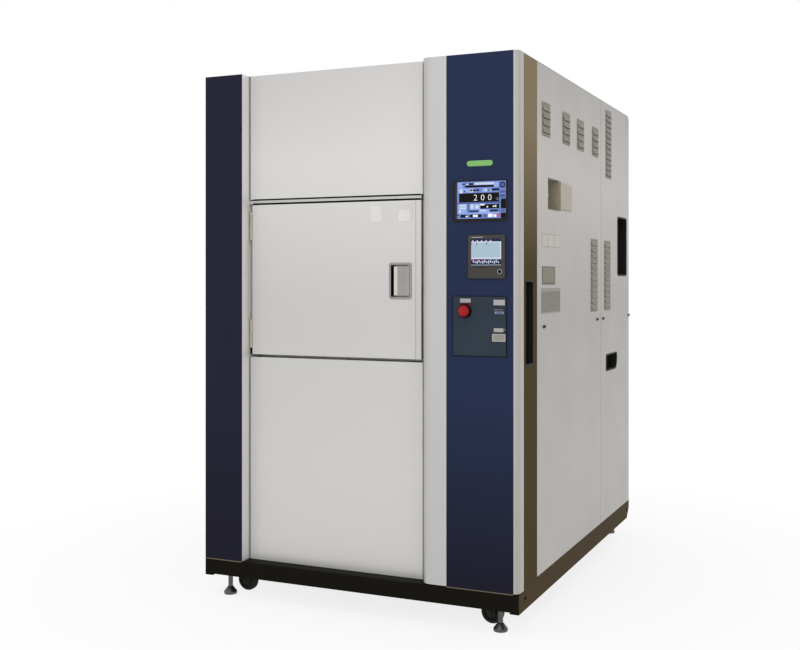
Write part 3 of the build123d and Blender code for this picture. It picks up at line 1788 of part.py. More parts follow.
def electrical_panel():
    """Mounting plate behind the control column with its rows of devices."""
    y = side_panel_front - shut_gap
    x_low = control_left + mullion_width
    x_high = right - beam_flange - shut_gap
    plate = block(x_low, x_high, y, y + sheet, deck_top, side_top - fold)
    rail_x = x_low + device_left_gap
    rail_end_x = x_high - device_right_gap
    for row in range(device_rows):
        z = side_panels_z + device_first + row * device_pitch
        z_low = z - device_rail_height / 2
        z_high = z + device_rail_height / 2
        plate = plate + block(rail_x, rail_end_x, y - device_rail, y, z_low, z_high)
        count = 4 + row % 2
        pitch = (rail_end_x - rail_x - device_left_gap) / count
        for index in range(count):
            x = rail_x + device_left_gap / 2 + index * pitch
            plate = plate + block(
                x,
                x + pitch * device_share,
                y - device_depth,
                y - device_rail,
                z - device_height / 2,
                z + device_height / 2,
            )
    return plate


def compressor(x):
    """Welded compressor shell with a foot skirt and a domed top."""
    radius = compressor_radius
    skirt = radius + compressor_skirt
    foot = deck_top + compressor_foot
    points = (
        (0, deck_top),
        (skirt, deck_top),
        (skirt, foot),
        (radius, foot + compressor_foot / 2),
        (radius, deck_top + compressor_height * 0.8),
        (radius * 0.75, deck_top + compressor_height * 0.95),
        (radius * 0.3, deck_top + compressor_height),
        (0, deck_top + compressor_height),
    )
    return turned(points, x, back - compressor_back_gap)


def condenser():
    """Finned condenser with its fan motor on struts."""
    half = condenser_width / 2
    thin = condenser_fin_sheet / 2
    y = condenser_y
    z_high = deck_top + condenser_height
    pitch = condenser_width / (condenser_fins - 1)
    body = None
    for index in range(condenser_fins):
        x = -half + index * pitch
        fin = block(x - thin, x + thin, y, y + condenser_depth, deck_top, z_high)
        body = fin if body is None else body + fin
    reach = half + condenser_tube_end
    for row in range(condenser_rows):
        z = deck_top + condenser_height * (row + 0.5) / condenser_rows
        body = body + rod_x(-reach, reach, y + condenser_depth / 2, z, condenser_tube_radius)
    strut_y = y - strut_reach
    strut_low = condenser_z - strut_height / 2
    strut_high = condenser_z + strut_height / 2
    for side in (-1, 1):
        x = side * half
        body = body + block(x - thin, x + thin, strut_y, y, strut_low, strut_high)
    motor_y = strut_y + strut_sheet
    motor_end = strut_y + cool_motor_reach
    body = body + block(-half, half, strut_y, motor_y, strut_low, strut_high)
    body = body + rod_y(0, motor_y, motor_end, condenser_z, cool_motor_radius)
    bore = fan_shaft_radius + run_gap
    return body - rod_y(0, motor_end - cool_motor_bore, motor_end, condenser_z, bore)


def refrigeration_unit():
    """Two compressors and the condenser."""
    first = left + compressor_inset
    return group([compressor(first), compressor(first + compressor_spacing), condenser()])


def condenser_fan():
    """Propeller with pitched blades in front of the condenser."""
    hub_front = condenser_y - strut_reach + cool_motor_reach + seat_gap
    hub_back = hub_front + cool_hub_length
    hub_middle = (hub_front + hub_back) / 2
    z = condenser_z
    propeller = rod_y(0, hub_front, hub_back, z, cool_hub_radius)
    propeller = propeller + rod_y(0, hub_front - cool_shaft_length, hub_front, z, fan_shaft_radius)
    blade_reach = cool_fan_radius - cool_blade_root
    blade = Rot(0, 0, cool_blade_slant) * Box(cool_blade_chord, cool_blade_sheet, blade_reach)
    for index in range(cool_fan_blades):
        turn = Rot(0, index * 360 / cool_fan_blades, 0)
        lift = Pos(0, 0, cool_blade_root + blade_reach / 2)
        propeller = propeller + Pos(0, hub_middle, z) * turn * lift * blade
    return propeller


def build_pieces():
    """All nodes by name."""
    pieces = {
        "base_frame": base_frame(),
        "base_deck": base_deck(),
        "front_posts": front_posts(),
        "left_column_cover": left_column_cover(),
        "left_column_inlay": left_column_inlay(),
        "roof_panel": roof_panel(),
        "upper_front_panel": folded_front_panel(panel_left, panel_right, opening_high, height),
        "lower_front_panel": folded_front_panel(panel_left, panel_right, front_panels_z, opening_low),
        "door_surround": door_surround(),
        "test_area_liner": test_area_liner(),
        "insulation": insulation(),
        "heater_coil": heater_coil(),
        "evaporator_coil": evaporator_coil(),
        "fan_motors": fan_motors(),
        "specimen_shelf": specimen_shelf(),
        "hinge_frame_halves": group([hinge_half(level, False) for level in hinge_levels]),
        "hinge_door_halves": group([hinge_half(level, True) for level in hinge_levels]),
        "door_skin": door_skin(),
        "door_core": door_core(),
        "door_gasket": door_gasket(),
        "handle_bezel": handle_bezel(),
        "handle_paddle": handle_paddle(),
        "latch_bolt": latch_bolt(),
        "right_front_side_panel": right_front_side_panel(),
        "right_rear_side_panel": right_rear_side_panel(),
        "left_side_panels": left_side_panels(),
        "side_vent_grilles": side_vent_grilles(),
        "grip_pockets": grip_pockets(),
        "breaker_pocket": breaker_pocket(),
        "breaker_flap": breaker_flap(),
        "breaker_toggle": breaker_toggle(),
        "back_panel": back_panel(),
        "rear_connections": rear_connections(),
        "electrical_panel": electrical_panel(),
        "refrigeration_unit": refrigeration_unit(),
        "condenser_fan": condenser_fan(),
        "control_fascia": control_fascia(),
        "control_inlay": control_inlay(),
        "status_lamp": status_lamp(),
        "touch_panel": touch_panel(),
        "display_screens": display_screens(),
        "chart_recorder": chart_recorder(),
        "recorder_button": recorder_button(),
        "switch_panel": switch_panel(),
        "estop_button": estop_button(),
        "fascia_lock": fascia_lock(),
        "hot_fan": fan(hot_low),
        "cold_fan": fan(cold_low),
        "hot_damper": damper(True),
        "cold_damper": damper(False),
    }
    for name, (x, y) in foot_centres().items():
        pieces[name + "_foot"] = levelling_foot(x, y)
    for side_name, side in (("left", -1), ("right", 1)):
        pieces["front_" + side_name + "_fork"] = front_fork(side)
        x, y = caster_centre(side, -1)
        pieces["front_" + side_name + "_wheel"] = wheel(x, y, True)
        x, y = caster_centre(side, 1)
        pieces["rear_" + side_name + "_wheel"] = wheel(x, y, False)
    return pieces


os.makedirs("parts", exist_ok=True)
for node, shape in build_pieces().items():
    export_step(shape, "parts/" + node + ".step")
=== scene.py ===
import math

import bpy
import numpy as np
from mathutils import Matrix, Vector


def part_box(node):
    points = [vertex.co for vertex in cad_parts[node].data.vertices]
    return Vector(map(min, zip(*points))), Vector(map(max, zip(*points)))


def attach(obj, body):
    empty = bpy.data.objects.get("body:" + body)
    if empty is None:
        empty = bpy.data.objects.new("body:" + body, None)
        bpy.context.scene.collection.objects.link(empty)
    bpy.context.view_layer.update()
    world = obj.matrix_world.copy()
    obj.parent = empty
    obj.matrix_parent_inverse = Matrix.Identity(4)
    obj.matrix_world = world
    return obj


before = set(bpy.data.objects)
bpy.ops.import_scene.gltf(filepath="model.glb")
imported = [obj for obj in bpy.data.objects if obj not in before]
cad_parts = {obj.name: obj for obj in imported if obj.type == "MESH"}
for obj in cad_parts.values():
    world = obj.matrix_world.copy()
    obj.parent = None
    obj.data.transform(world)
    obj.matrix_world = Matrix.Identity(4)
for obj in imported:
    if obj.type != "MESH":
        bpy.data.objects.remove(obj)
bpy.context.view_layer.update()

bl_info = {
    "name": "Environmental test chamber",
    "version": (1, 0, 0),
    "blender": (4, 5, 0),
    "location": "View3D > Sidebar > Chamber",
    "description": "Finishes and small fittings for a thermal shock test chamber",
    "category": "Object",
}

MM = 0.001
MICRON = 0.000001
X_AXIS = np.array((1.0, 0.0, 0.0))
Y_AXIS = np.array((0.0, 1.0, 0.0))
Z_AXIS = np.array((0.0, 0.0, 1.0))
FRONT_VIEW = (X_AXIS, Z_AXIS)
RIGHT_VIEW = (Y_AXIS, Z_AXIS)
LEFT_VIEW = (-Y_AXIS, Z_AXIS)
BACK_VIEW = (-X_AXIS, Z_AXIS)
# Depth within which a face's paint differs from the rest of its solid, and pitch of the
# slots in the vent plates
SIDE_SKIN = 0.0008
SLOT_PITCH = 0.0073
# Points in each quarter circle of a plate's outline
OUTLINE_STEPS = 4


def linear(red, green, blue):
    """Linear colour from 0 to 255 values as a screen shows them."""
    values = np.array((red, green, blue)) / 255.0
    low = values / 12.92
    high = ((values + 0.055) / 1.055) ** 2.4
    return tuple(float(v) for v in np.where(values < 0.04045, low, high))


def colour(label, description, red, green, blue):
    """Colour property with a default from 0 to 255 values."""
    return bpy.props.FloatVectorProperty(
        name=label,
        description=description,
        subtype="COLOR",
        size=3,
        min=0.0,
        max=1.0,
        default=linear(red, green, blue),
    )


def length(label, description, millimetres):
    """Length property with its default in metres."""
    return bpy.props.FloatProperty(
        name=label, description=description, unit="LENGTH", min=0.0, default=millimetres * MM
    )


class ChamberColours(bpy.types.PropertyGroup):
    """Colours of the finishes."""

    silver: colour("Silver paint", "Front panels and door", 208, 207, 206)
    column: colour("Column paint", "Silver parts of the control column", 190, 189, 188)
    # Painted shade: the control column's right-hand side face takes a darker tone of its paint
    column_side_shade: colour("Column edge", "Right-hand edge of the control column", 174, 170, 166)
    side: colour("Side paint", "Side panels, roof and back", 180, 177, 173)
    navy_left: colour("Navy film, left", "Blue face of the left column", 31, 30, 50)
    navy: colour("Navy film, right", "Blue face of the control column", 33, 44, 75)
    # Painted shade: the blue faces turn to this darker blue near the floor
    navy_foot: colour("Navy film, foot", "Blue faces near the floor", 22, 22, 38)
    # Painted sheen: the corner posts turn lighter towards the roof, a painted reflection over
    # their olive paint
    post_sheen_high: colour("Post, upper part", "Corner post near the roof", 136, 122, 96)
    post_low: colour("Post, lower part", "Corner post near the base", 68, 53, 18)
    # The front beam's near black and the side beams' olive brown are shaded and lit tones of one
    # paint: painted shade and painted light
    beam: colour("Front beam", "Base frame at the front and inside", 21, 19, 13)
    beam_side_lit: colour("Side beams", "Outer faces of the side beams", 68, 53, 26)
    moulding: colour("Black moulding", "Grip pockets", 20, 19, 16)
    pocket: colour("Breaker pocket", "Recess round the breaker", 158, 151, 132)
    flap: colour("Breaker flap", "Open cover beside the pocket", 172, 164, 152)
    grille: colour("Vent plates", "Pressed vent plates of the sides", 142, 137, 123)
    handle: colour("Handle metal", "Bezel and paddle of the door handle", 152, 149, 144)
    instrument: colour("Instrument plastic", "Bezels of the instruments", 56, 53, 50)
    switch: colour("Switch panel", "Plate with the stop button", 47, 56, 68)
    lamp: colour("Lamp lens", "Long green lamp", 106, 162, 84)
    stop: colour("Stop button", "Mushroom head", 158, 22, 30)
    plate: colour("Bare plates", "Small bare plates on the front", 158, 155, 157)
    screen: colour("Screen ground", "Lit ground of the operator screen", 126, 150, 226)


class ChamberSizes(bpy.types.PropertyGroup):
    """Sizes of the small fittings."""

    plate_thick: length("Plate thickness", "Thickness of the bare plates", 0.8)
    film_thick: length("Film thickness", "Thickness of the clear labels and of screen tiles", 0.25)
    screw_radius: length("Screw radius", "Radius of the small pan head screws", 3.0)
    latch_radius: length("Latch radius", "Radius of the quarter-turn latches", 7.0)
    soft_edge: length("Edge radius", "Radius that the paint softens edges by", 1.2)
    # The seals below are strips in the front gaps: dark ones of painted shadow, and a pale one of
    # painted light by the hinges
    seal_gap: length("Seal clearance", "Clearance beside the seals of the front gaps", 0.5)
    seal_recess: length("Seal recess", "Front panels to the seals beside the column", 9.0)
    seal_depth: length("Seal depth", "Thickness of the seals in depth", 6.0)
    hinge_seal_recess: length("Hinge seal recess", "Front panels to the seal by the hinges", 14.0)
    cup_rim: length("Cup rim", "Bezel's outer edge to the handle's cup", 7.0)
    # The cup's dark lining is painted shade
    cup_skip: length("Cup lining edge", "Bezel's face to the dark lining of the cup", 3.0)
    paddle_margin: length("Paddle margin", "Cup's end walls to the paddle", 5.0)
    # The paddle's bright strip is a painted highlight on its rounded nose
    nose_skip: length("Nose edge", "Paddle's edge to its bright strip", 1.5)
    nose_strip: length("Nose strip", "Paddle's edge to the end of its bright strip", 14.0)
    head_strip: length("Head strip height", "Height of the strip over the door", 12.0)
    head_seal_lap: length("Head seal lap", "How far the seals lap over the strip", 0.9)
    base_lift: length("Base lift", "Floor to the underside of the base frame", 70.0)
    corner_bead: length("Corner bead", "Width of the bead between left column and panels", 3.0)
    trim_height: length("Foot trim height", "Height of the trims under the blue faces", 3.0)
    touch_left: length("Left bezel", "Bezel left of the lit picture", 15.0)
    touch_right: length("Right bezel", "Bezel right of the lit picture", 4.5)
    touch_top: length("Top bezel", "Bezel above the lit picture", 4.0)
    touch_foot: length("Lower bezel", "Bezel below the lit picture", 10.0)
    switch_sheet: length("Switch sheet", "Thickness of the switch panel on the column", 2.5)
    louvre_proud: length("Louvre depth", "How far the louvres stand off their plate", 4.0)


# Shader nodes


class Shader:
    """Shader nodes of one material, with the surface's own socket values set directly."""

    def __init__(self, name, **values):
        self.material = bpy.data.materials.new(name)
        self.material.use_nodes = True
        self.tree = self.material.node_tree
        self.surface = self.tree.nodes["Principled BSDF"]
        self.points = self.add("ShaderNodeTexCoord").outputs["Object"]
        for socket, value in values.items():
            self.surface.inputs[socket.replace("_", " ")].default_value = value

    def add(self, kind, feeds=(), **values):
        """New node, with its inputs by name from feeds and its own values set."""
        node = self.tree.nodes.new(kind)
        for key, value in values.items():
            setattr(node, key, value)
        for key, value in dict(feeds).items():
            if isinstance(value, bpy.types.NodeSocket):
                self.tree.links.new(value, node.inputs[key])
            else:
                node.inputs[key].default_value = value
        return node

    def feed(self, socket, value):
        """Link an output to a socket of the surface."""
        self.tree.links.new(value, self.surface.inputs[socket])

    def stretched(self, scale):
        """Object points, stretched by a scale in X, Y and Z."""
        feeds = {"Vector": self.points, "Scale": scale}
        return self.add("ShaderNodeMapping", feeds).outputs["Vector"]

    def noise(self, scale, detail=3.0, rough=0.55, points=None):
        """Noise from 0 to 1 at a scale per metre."""
        feeds = {"Scale": scale, "Detail": detail, "Roughness": rough}
        feeds["Vector"] = points or self.points
        return self.add("ShaderNodeTexNoise", feeds).outputs["Fac"]

    def along(self, axis):
        """One coordinate of the object's points."""
        parts = self.add("ShaderNodeSeparateXYZ", {"Vector": self.points})
        return parts.outputs[axis]

    def ramp(self, value, low, high, to_low=0.0, to_high=1.0):
        """Value brought from one range to another and kept there."""
        sockets = ("Value", "From Min", "From Max", "To Min", "To Max")
        feeds = zip(sockets, (value, low, high, to_low, to_high))
        return self.add("ShaderNodeMapRange", feeds, clamp=True).outputs["Result"]

    def maths(self, operation, first, second):
        """Arithmetic on two values."""
        node = self.add("ShaderNodeMath", {0: first, 1: second}, operation=operation)
        return node.outputs["Value"]

    def blended(self, share, first, second, kind="MIX"):
        """Colour between two colours by a share."""
        node = self.add("ShaderNodeMix", data_type="RGBA", blend_type=kind)
        for index, value in ((0, share), (6, first), (7, second)):
            if isinstance(value, bpy.types.NodeSocket):
                self.tree.links.new(value, node.inputs[index])
            elif index == 0:
                node.inputs[index].default_value = value
            else:
                node.inputs[index].default_value = (*value, 1.0)
        return node.outputs[2]

    def bumps(self, height, strength, distance, edge=0.0):
        """Bumps from a height, over edges softened by a radius."""
        feeds = {"Height": height, "Strength": strength, "Distance": distance}
        if edge > 0:
            soft = self.add("ShaderNodeBevel", {"Radius": edge}, samples=4)
            feeds["Normal"] = soft.outputs["Normal"]
        self.feed("Normal", self.add("ShaderNodeBump", feeds).outputs["Normal"])


def shade(tint, factor):
    """Colour made lighter or darker."""
    return tuple(min(1.0, channel * factor) for channel in tint)


def finish(name, tint, rough, spread, clouds, grain, depth, metallic=0.0, specular=0.5, **values):
    """Paint, metal or plastic: broad faint cloudiness and a fine grain in colour, gloss and
    bumps. Stretch draws the grain out by a scale in X, Y and Z, edge softens the edges."""
    stretch = values.pop("stretch", None)
    edge = values.pop("edge", 0.0)
    shader = Shader(f"{name}_look", Metallic=metallic, Specular_IOR_Level=specular, **values)
    points = shader.stretched(stretch) if stretch else shader.points
    broad = shader.maths("MULTIPLY", shader.noise(clouds, 2.0, 0.5), 0.65)
    fine = shader.noise(grain, 2.0, 0.6, points)
    share = shader.maths("ADD", broad, shader.maths("MULTIPLY", fine, 0.35))
    tones = (shade(tint, 1 - spread), shade(tint, 1 + spread))
    shader.feed("Base Color", shader.blended(shader.ramp(share, 0.3, 0.7), *tones))
    gloss = shader.noise(clouds * 4, 4.0, 0.6)
    shader.feed("Roughness", shader.ramp(gloss, 0.3, 0.7, rough * 0.88, rough * 1.12))
    shader.bumps(fine, 0.5, depth * MICRON, edge)
    return shader


def grained(shader, tone, spread, grain):
    """Tone made a little lighter and darker by a fine grain."""
    share = shader.ramp(shader.noise(grain, 2.0), 0.3, 0.7, 1 - spread, 1 + spread)
    parts = shader.add("ShaderNodeCombineColor", {0: share, 1: share, 2: share})
    return shader.blended(1.0, tone, parts.outputs[0], "MULTIPLY")


# Materials, made once by the first operator that asks for them

FINISHES = {}

# Clear coats of the satin paints
SATIN = {"Coat_Weight": 0.12, "Coat_Roughness": 0.25}
SIDE_SATIN = {"Coat_Weight": 0.1, "Coat_Roughness": 0.3}
COLUMN_SATIN = {"Coat_Weight": 0.1, "Coat_Roughness": 0.25}
# Rows of plain finishes: name, tint as a colour property's name or as 0 to 255 values,
# roughness, spread of the tone, clouds and grain per metre, depth of the grain in
# micrometres, then metallic and specular where they aren't 0 and 0.5, and other values
PAINTS = (
    ("silver_paint", "silver", 0.36, 0.02, 1.6, 1400, 20, 0.3, 0.5, SATIN),
    ("cover_paint", "silver", 0.36, 0.02, 1.6, 1400, 20, 0.3, 0.5, SATIN),
    ("side_paint", "side", 0.42, 0.03, 1.4, 1100, 30, 0.1, 0.5, SIDE_SATIN),
    ("column_paint", "column", 0.36, 0.02, 1.6, 1400, 20, 0.3, 0.5, COLUMN_SATIN),
    ("navy_left", "navy_left", 0.42, 0.08, 2, 1500, 20, 0, 0.1),
    ("navy_paint", "navy", 0.42, 0.08, 2, 1500, 20, 0, 0.1),
    ("machine_black", "beam", 0.4, 0.15, 6, 500, 60, 0, 0.05),
    ("pocket_paint", "pocket", 0.5, 0.1, 9, 900, 40),
    ("flap_paint", "flap", 0.45, 0.05, 9, 900, 30),
    ("switch_paint", "switch", 0.5, 0.08, 8, 1500, 30, 0, 0.1, {"edge": 0.0006}),
)
METALS = (
    (
        "stainless_sheet", (197.3, 196.5, 194.1), 0.3, 0.1, 3, 40, 20,
        1, 0.5, {"stretch": (1, 1, 40)},
    ),
    ("surround_steel", (190, 189, 187), 0.4, 0.06, 3, 60, 20, 0.6, 0.5, {"stretch": (1, 1, 30)}),
    ("handle_metal", "handle", 0.33, 0.06, 20, 1600, 20, 0.6, 0.5, {"edge": 0.0008}),
    ("zinc_steel", (161.7, 160.7, 157.6), 0.34, 0.2, 40, 500, 50, 0.9),
    ("foot_metal", (89, 88.2, 86), 0.3, 0.25, 60, 500, 60, 0.85),
    ("hinge_metal", (176, 168, 150), 0.42, 0.12, 30, 700, 40, 0.45),
    ("coil_metal", (173.4, 155.5, 129.1), 0.35, 0.3, 9, 300, 30, 1),
    ("fin_metal", (215.1, 216.5, 217.8), 0.38, 0.1, 10, 300, 30, 1, 0.5, {"stretch": (1, 20, 1)}),
)
PLASTICS = (
    ("black_moulding", "moulding", 0.6, 0.2, 8, 1200, 100, 0, 0.25),
    ("foam", (220.6, 212.2, 187.5), 0.9, 0.2, 30, 350, 600),
    ("black_rubber", (31.4, 30.7, 28.6), 0.7, 0.3, 20, 900, 100, 0, 0.25),
    ("gasket_rubber", (38.7, 38.7, 36.4), 0.6, 0.25, 15, 700, 100, 0, 0.3),
    # Painted shadow and painted light of the front gaps: a dark strip, a pale strip by the hinges,
    # and a near black that is also the recorder button's own black
    ("gap_seal", (96, 91, 78), 0.6, 0.15, 15, 700, 100, 0, 0.2),
    ("hinge_seal", (206, 200, 186), 0.6, 0.15, 15, 700, 100, 0, 0.2),
    ("gap_black", (14, 12, 8), 0.7, 0.2, 15, 700, 100, 0, 0.1),
    ("trim_brown", (104, 94, 74), 0.5, 0.12, 20, 700, 50, 0.2),
    ("instrument_plastic", "instrument", 0.45, 0.12, 12, 2200, 60, 0, 0.3, {"edge": 0.0006}),
    ("touch_bezel", (30, 27, 24), 0.45, 0.15, 12, 2200, 60, 0, 0.15, {"edge": 0.0006}),
    (
        "lamp_green", "lamp", 0.18, 0.1, 60, 900, 10,
        0, 0.5, {"Coat_Weight": 0.3, "Emission_Strength": 0.25},
    ),
    ("stop_red", "stop", 0.45, 0.1, 30, 900, 20, 0, 0.2),
    ("stop_dark", (98, 18, 26), 0.55, 0.15, 30, 900, 40, 0, 0.15),
    ("device_grey", (148.9, 151.1, 153.3), 0.5, 0.1, 10, 1300, 80),
    ("button_silver", (150, 154, 166), 0.25, 0.1, 60, 900, 20, 0.6),
    ("display_glass", (28.6, 31.4, 38.7), 0.12, 0.2, 3, 200, 2, 0, 0.4),
    ("counter_blue", (86, 94, 130), 0.4, 0.1, 90, 900, 10),
    ("counter_pale", (140, 146, 176), 0.4, 0.1, 90, 900, 10),
    ("bare_plate", "plate", 0.32, 0.06, 25, 1200, 20, 0.3, 0.5, {"edge": 0.0003}),
    ("meter_face", (144, 140, 132), 0.4, 0.08, 60, 900, 30),
    ("meter_rim", (172, 168, 160), 0.4, 0.05, 60, 900, 30),
    ("pale_label", (184, 180, 173), 0.35, 0.03, 20, 900, 10),
    ("door_label", (212, 211, 209), 0.35, 0.03, 20, 900, 10),
    ("door_mark", (224, 223, 221), 0.35, 0.03, 20, 900, 10),
    # Painted highlight of the paddle's nose
    ("bright_nose", (205, 201, 195), 0.3, 0.05, 40, 1600, 20, 0.3),
    ("label_rim", (164, 156, 142), 0.4, 0.08, 20, 900, 20),
    ("bronze_plate", (116, 108, 88), 0.45, 0.08, 12, 900, 30),
    ("bronze_rim", (84, 74, 54), 0.45, 0.1, 12, 900, 30),
    ("grey_plate", (116, 113, 104), 0.5, 0.05, 12, 900, 30),
    ("grey_rim", (142, 139, 130), 0.5, 0.05, 12, 900, 30),
)

# Lit tones of the two screens: name, 0 to 255 values and power
LIT_TONES = (
    ("lit_sky", (150, 178, 240), 0.9),
    ("lit_pale", (212, 220, 240), 0.9),
    ("lit_white", (248, 248, 250), 1.0),
    ("lit_steel", (96, 108, 172), 0.8),
    ("lit_deep", (58, 68, 120), 0.7),
    ("lit_trace", (176, 200, 216), 0.85),
    ("lit_navy", (36, 40, 88), 0.6),
    ("lit_red", (196, 70, 96), 0.8),
    ("lit_cyan", (120, 186, 206), 0.85),
    ("lit_dark", (20, 17, 13), 0.25),
)

# Heights in metres between which the paints change: the painted reflection bands of the large
# sheets, the painted shade of the blue faces near the floor and the painted sheen of the posts
SHEEN_RISE = (1.05, 1.45)
SHEEN_FALL = (1.82, 1.52)
SHEEN_NEAR_FLOOR = (0.95, 0.45)
NAVY_SHADE_RISE = (0.15, 0.75)
POST_SHEEN_RISE = (1.15, 1.6)


def painted_sheen_bands(shader, tint, dark, light, spread, grain):
    """Tint with painted reflections: lightest in a band above the middle and a little lighter
    again near the floor, as large satin sheets look in a bright room."""
    height = shader.along("Z")
    band = shader.maths(
        "MULTIPLY", shader.ramp(height, *SHEEN_RISE), shader.ramp(height, *SHEEN_FALL)
    )
    pale = shader.maths("MAXIMUM", band, shader.ramp(height, *SHEEN_NEAR_FLOOR, 0.0, 0.5))
    tone = shader.blended(pale, shade(tint, dark), shade(tint, light))
    shader.feed("Base Color", grained(shader, tone, spread, grain))


def fading(shader, axis, start, end, first, second, spread, grain):
    """Colour that passes from one tone to another along an axis, with a faint grain."""
    tone = shader.blended(shader.ramp(shader.along(axis), start, end), first, second)
    shader.feed("Base Color", grained(shader, tone, spread, grain))


def make_rows(rows, colours, **shared):
    """Make the finishes of a table's rows, with values that they share."""
    for name, tint, *numbers in rows:
        values = numbers.pop() if isinstance(numbers[-1], dict) else {}
        tint = getattr(colours, tint) if isinstance(tint, str) else linear(*tint)
        FINISHES[name] = finish(name, tint, *numbers, **{**shared, **values})


def make_paints(colours, edge):
    """Paints and films of the panels, posts and base, with painted reflections, painted highlights
    and painted shade.
    """
    make_rows(PAINTS, colours, edge=edge)
    # Painted reflections: the front panels, door, sides, roof and back are lighter in a band above
    # the middle and near the floor
    painted_sheen_bands(FINISHES["silver_paint"], colours.silver, 0.92, 1.07, 0.02, 1400)
    painted_sheen_bands(FINISHES["side_paint"], colours.side, 0.87, 1.12, 0.03, 1100)
    # Painted highlight: the left column's cover turns from a side-panel tone at its left edge to a
    # bright silver at its right-hand edge
    low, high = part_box("left_column_cover")
    fading(
        FINISHES["cover_paint"], "X", low.x + edge, high.x - edge,
        shade(colours.side, 1.03), shade(colours.silver, 1.2), 0.02, 1400,
    )
    # Painted shade on the control column's right-hand side face
    _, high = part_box("control_inlay")
    fading(
        FINISHES["column_paint"], "X", high.x - SIDE_SKIN, high.x,
        colours.column, colours.column_side_shade, 0.02, 1400,
    )
    # Painted shade: the blue faces darken towards the floor
    for key, tint in (("navy_left", colours.navy_left), ("navy_paint", colours.navy)):
        fading(FINISHES[key], "Z", *NAVY_SHADE_RISE, colours.navy_foot, tint, 0.04, 700)
    # Corner posts: painted sheen, lighter towards the roof
    olive = Shader("olive_paint_look", Roughness=0.55, Specular_IOR_Level=0.04)
    fading(olive, "Z", *POST_SHEEN_RISE, colours.post_low, colours.post_sheen_high, 0.04, 700)
    olive.bumps(olive.noise(900), 0.4, 30 * MICRON, edge)
    FINISHES["olive_paint"] = olive
    FINISHES["base_paint"] = base_paint(colours.beam, colours.beam_side_lit, edge)
    FINISHES["vent_paint"] = vent_paint(colours.grille, colours.beam)


def base_paint(front, side, edge):
    """Base frame, in painted light and shade: near black at the front and inside, darkest on its
    top as painted shade, and olive brown on the outer side faces, which lie beyond a distance from
    the middle plane, as the lit tone of the same paint."""
    shader = Shader("base_paint_look", Roughness=0.55, Specular_IOR_Level=0.04)
    low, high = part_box("base_frame")
    reach = high.x - SIDE_SKIN
    outer = shader.ramp(shader.maths("ABSOLUTE", shader.along("X"), 0.0), reach - SIDE_SKIN, reach)
    behind = shader.ramp(shader.along("Y"), low.y, low.y + SIDE_SKIN)
    tone = shader.blended(shader.maths("MULTIPLY", outer, behind), front, side)
    # Painted shade on the frame's top
    top_shade = shader.ramp(shader.along("Z"), high.z - SIDE_SKIN, high.z)
    tone = shader.blended(top_shade, tone, shade(front, 0.3))
    shader.feed("Base Color", grained(shader, tone, 0.12, 500))
    shader.bumps(shader.noise(420, 4.0), 0.5, 60 * MICRON, edge)
    return shader


def vent_paint(plate, slot):
    """Vent plates: a fine row of dark slots between the pressed louvres, by height, painted near
    black as the shade inside the openings. A slot takes the share of the pitch between the middles
    of its two soft edges."""
    shader = Shader("vent_paint_look", Roughness=0.5, Metallic=0.1)
    wave = shader.maths("FRACT", shader.maths("MULTIPLY", shader.along("Z"), 1 / SLOT_PITCH), 0.0)
    # Painted shade of the openings, made patchy by a cloud
    dark = shader.maths("MULTIPLY", shader.ramp(wave, 0.0, 0.12), shader.ramp(wave, 0.55, 0.43))
    cloud = shader.ramp(shader.noise(26, 3.0, 0.6), 0.35, 0.65, 0.35, 0.8)
    tone = shader.blended(shader.maths("MULTIPLY", dark, cloud), plate, slot)
    shader.feed("Base Color", grained(shader, tone, 0.08, 600))
    shader.bumps(dark, -0.4, 400 * MICRON)
    return shader


def glow(shader, tint):
    """Let a surface shine in a colour."""
    shader.surface.inputs["Emission Color"].default_value = (*tint, 1.0)


def make_finishes(colours, edge):
    """Make every material of the chamber."""
    make_paints(colours, edge)
    make_rows(METALS + PLASTICS, colours)
    glow(FINISHES["lamp_green"], colours.lamp)
    lit = [(key, linear(*values), power) for key, values, power in LIT_TONES]
    for key, tint, power in (("lit_ground", colours.screen, 0.8), *lit):
        shader = finish(key, shade(tint, 0.06), 0.3, 0.1, 200, 900, 1, specular=0.1)
        pixels = shader.ramp(shader.noise(1500, 1.0), 0.3, 0.7, power * 0.93, power * 1.05)
        shader.feed("Emission Strength", pixels)
        glow(shader, tint)
        FINISHES[key] = shader


def add_piece(name, points, faces, body, slot, smooth=False, look=None):
    """New mesh piece that rides on a body, in a material slot, and wears the slot's finish
    or another look."""
    mesh = bpy.data.meshes.new(name)
    mesh.from_pydata(np.asarray(points, float).reshape(-1, 3).tolist(), [], faces)
    mesh.update()
    if smooth:
        mesh.polygons.foreach_set("use_smooth", np.ones(len(mesh.polygons), bool))
        mesh.set_sharp_from_angle(angle=math.radians(35))
    piece = bpy.data.objects.new(name, mesh)
    bpy.context.scene.collection.objects.link(piece)
    mesh.materials.append(FINISHES[look or slot].material)
    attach(piece, body)


# Surfaces as functions of two parameters on a grid


def grid_faces(rows, columns):
    """Quads of a grid whose rows close on themselves: each joins a point, the next in its
    row, and the two above them."""
    row, column = np.meshgrid(np.arange(rows - 1), np.arange(columns), indexing="ij")
    after = (column + 1) % columns
    first = row * columns + column
    second = row * columns + after
    quads = np.stack([first, second, second + columns, first + columns], axis=-1)
    return quads.reshape(-1, 4).tolist()


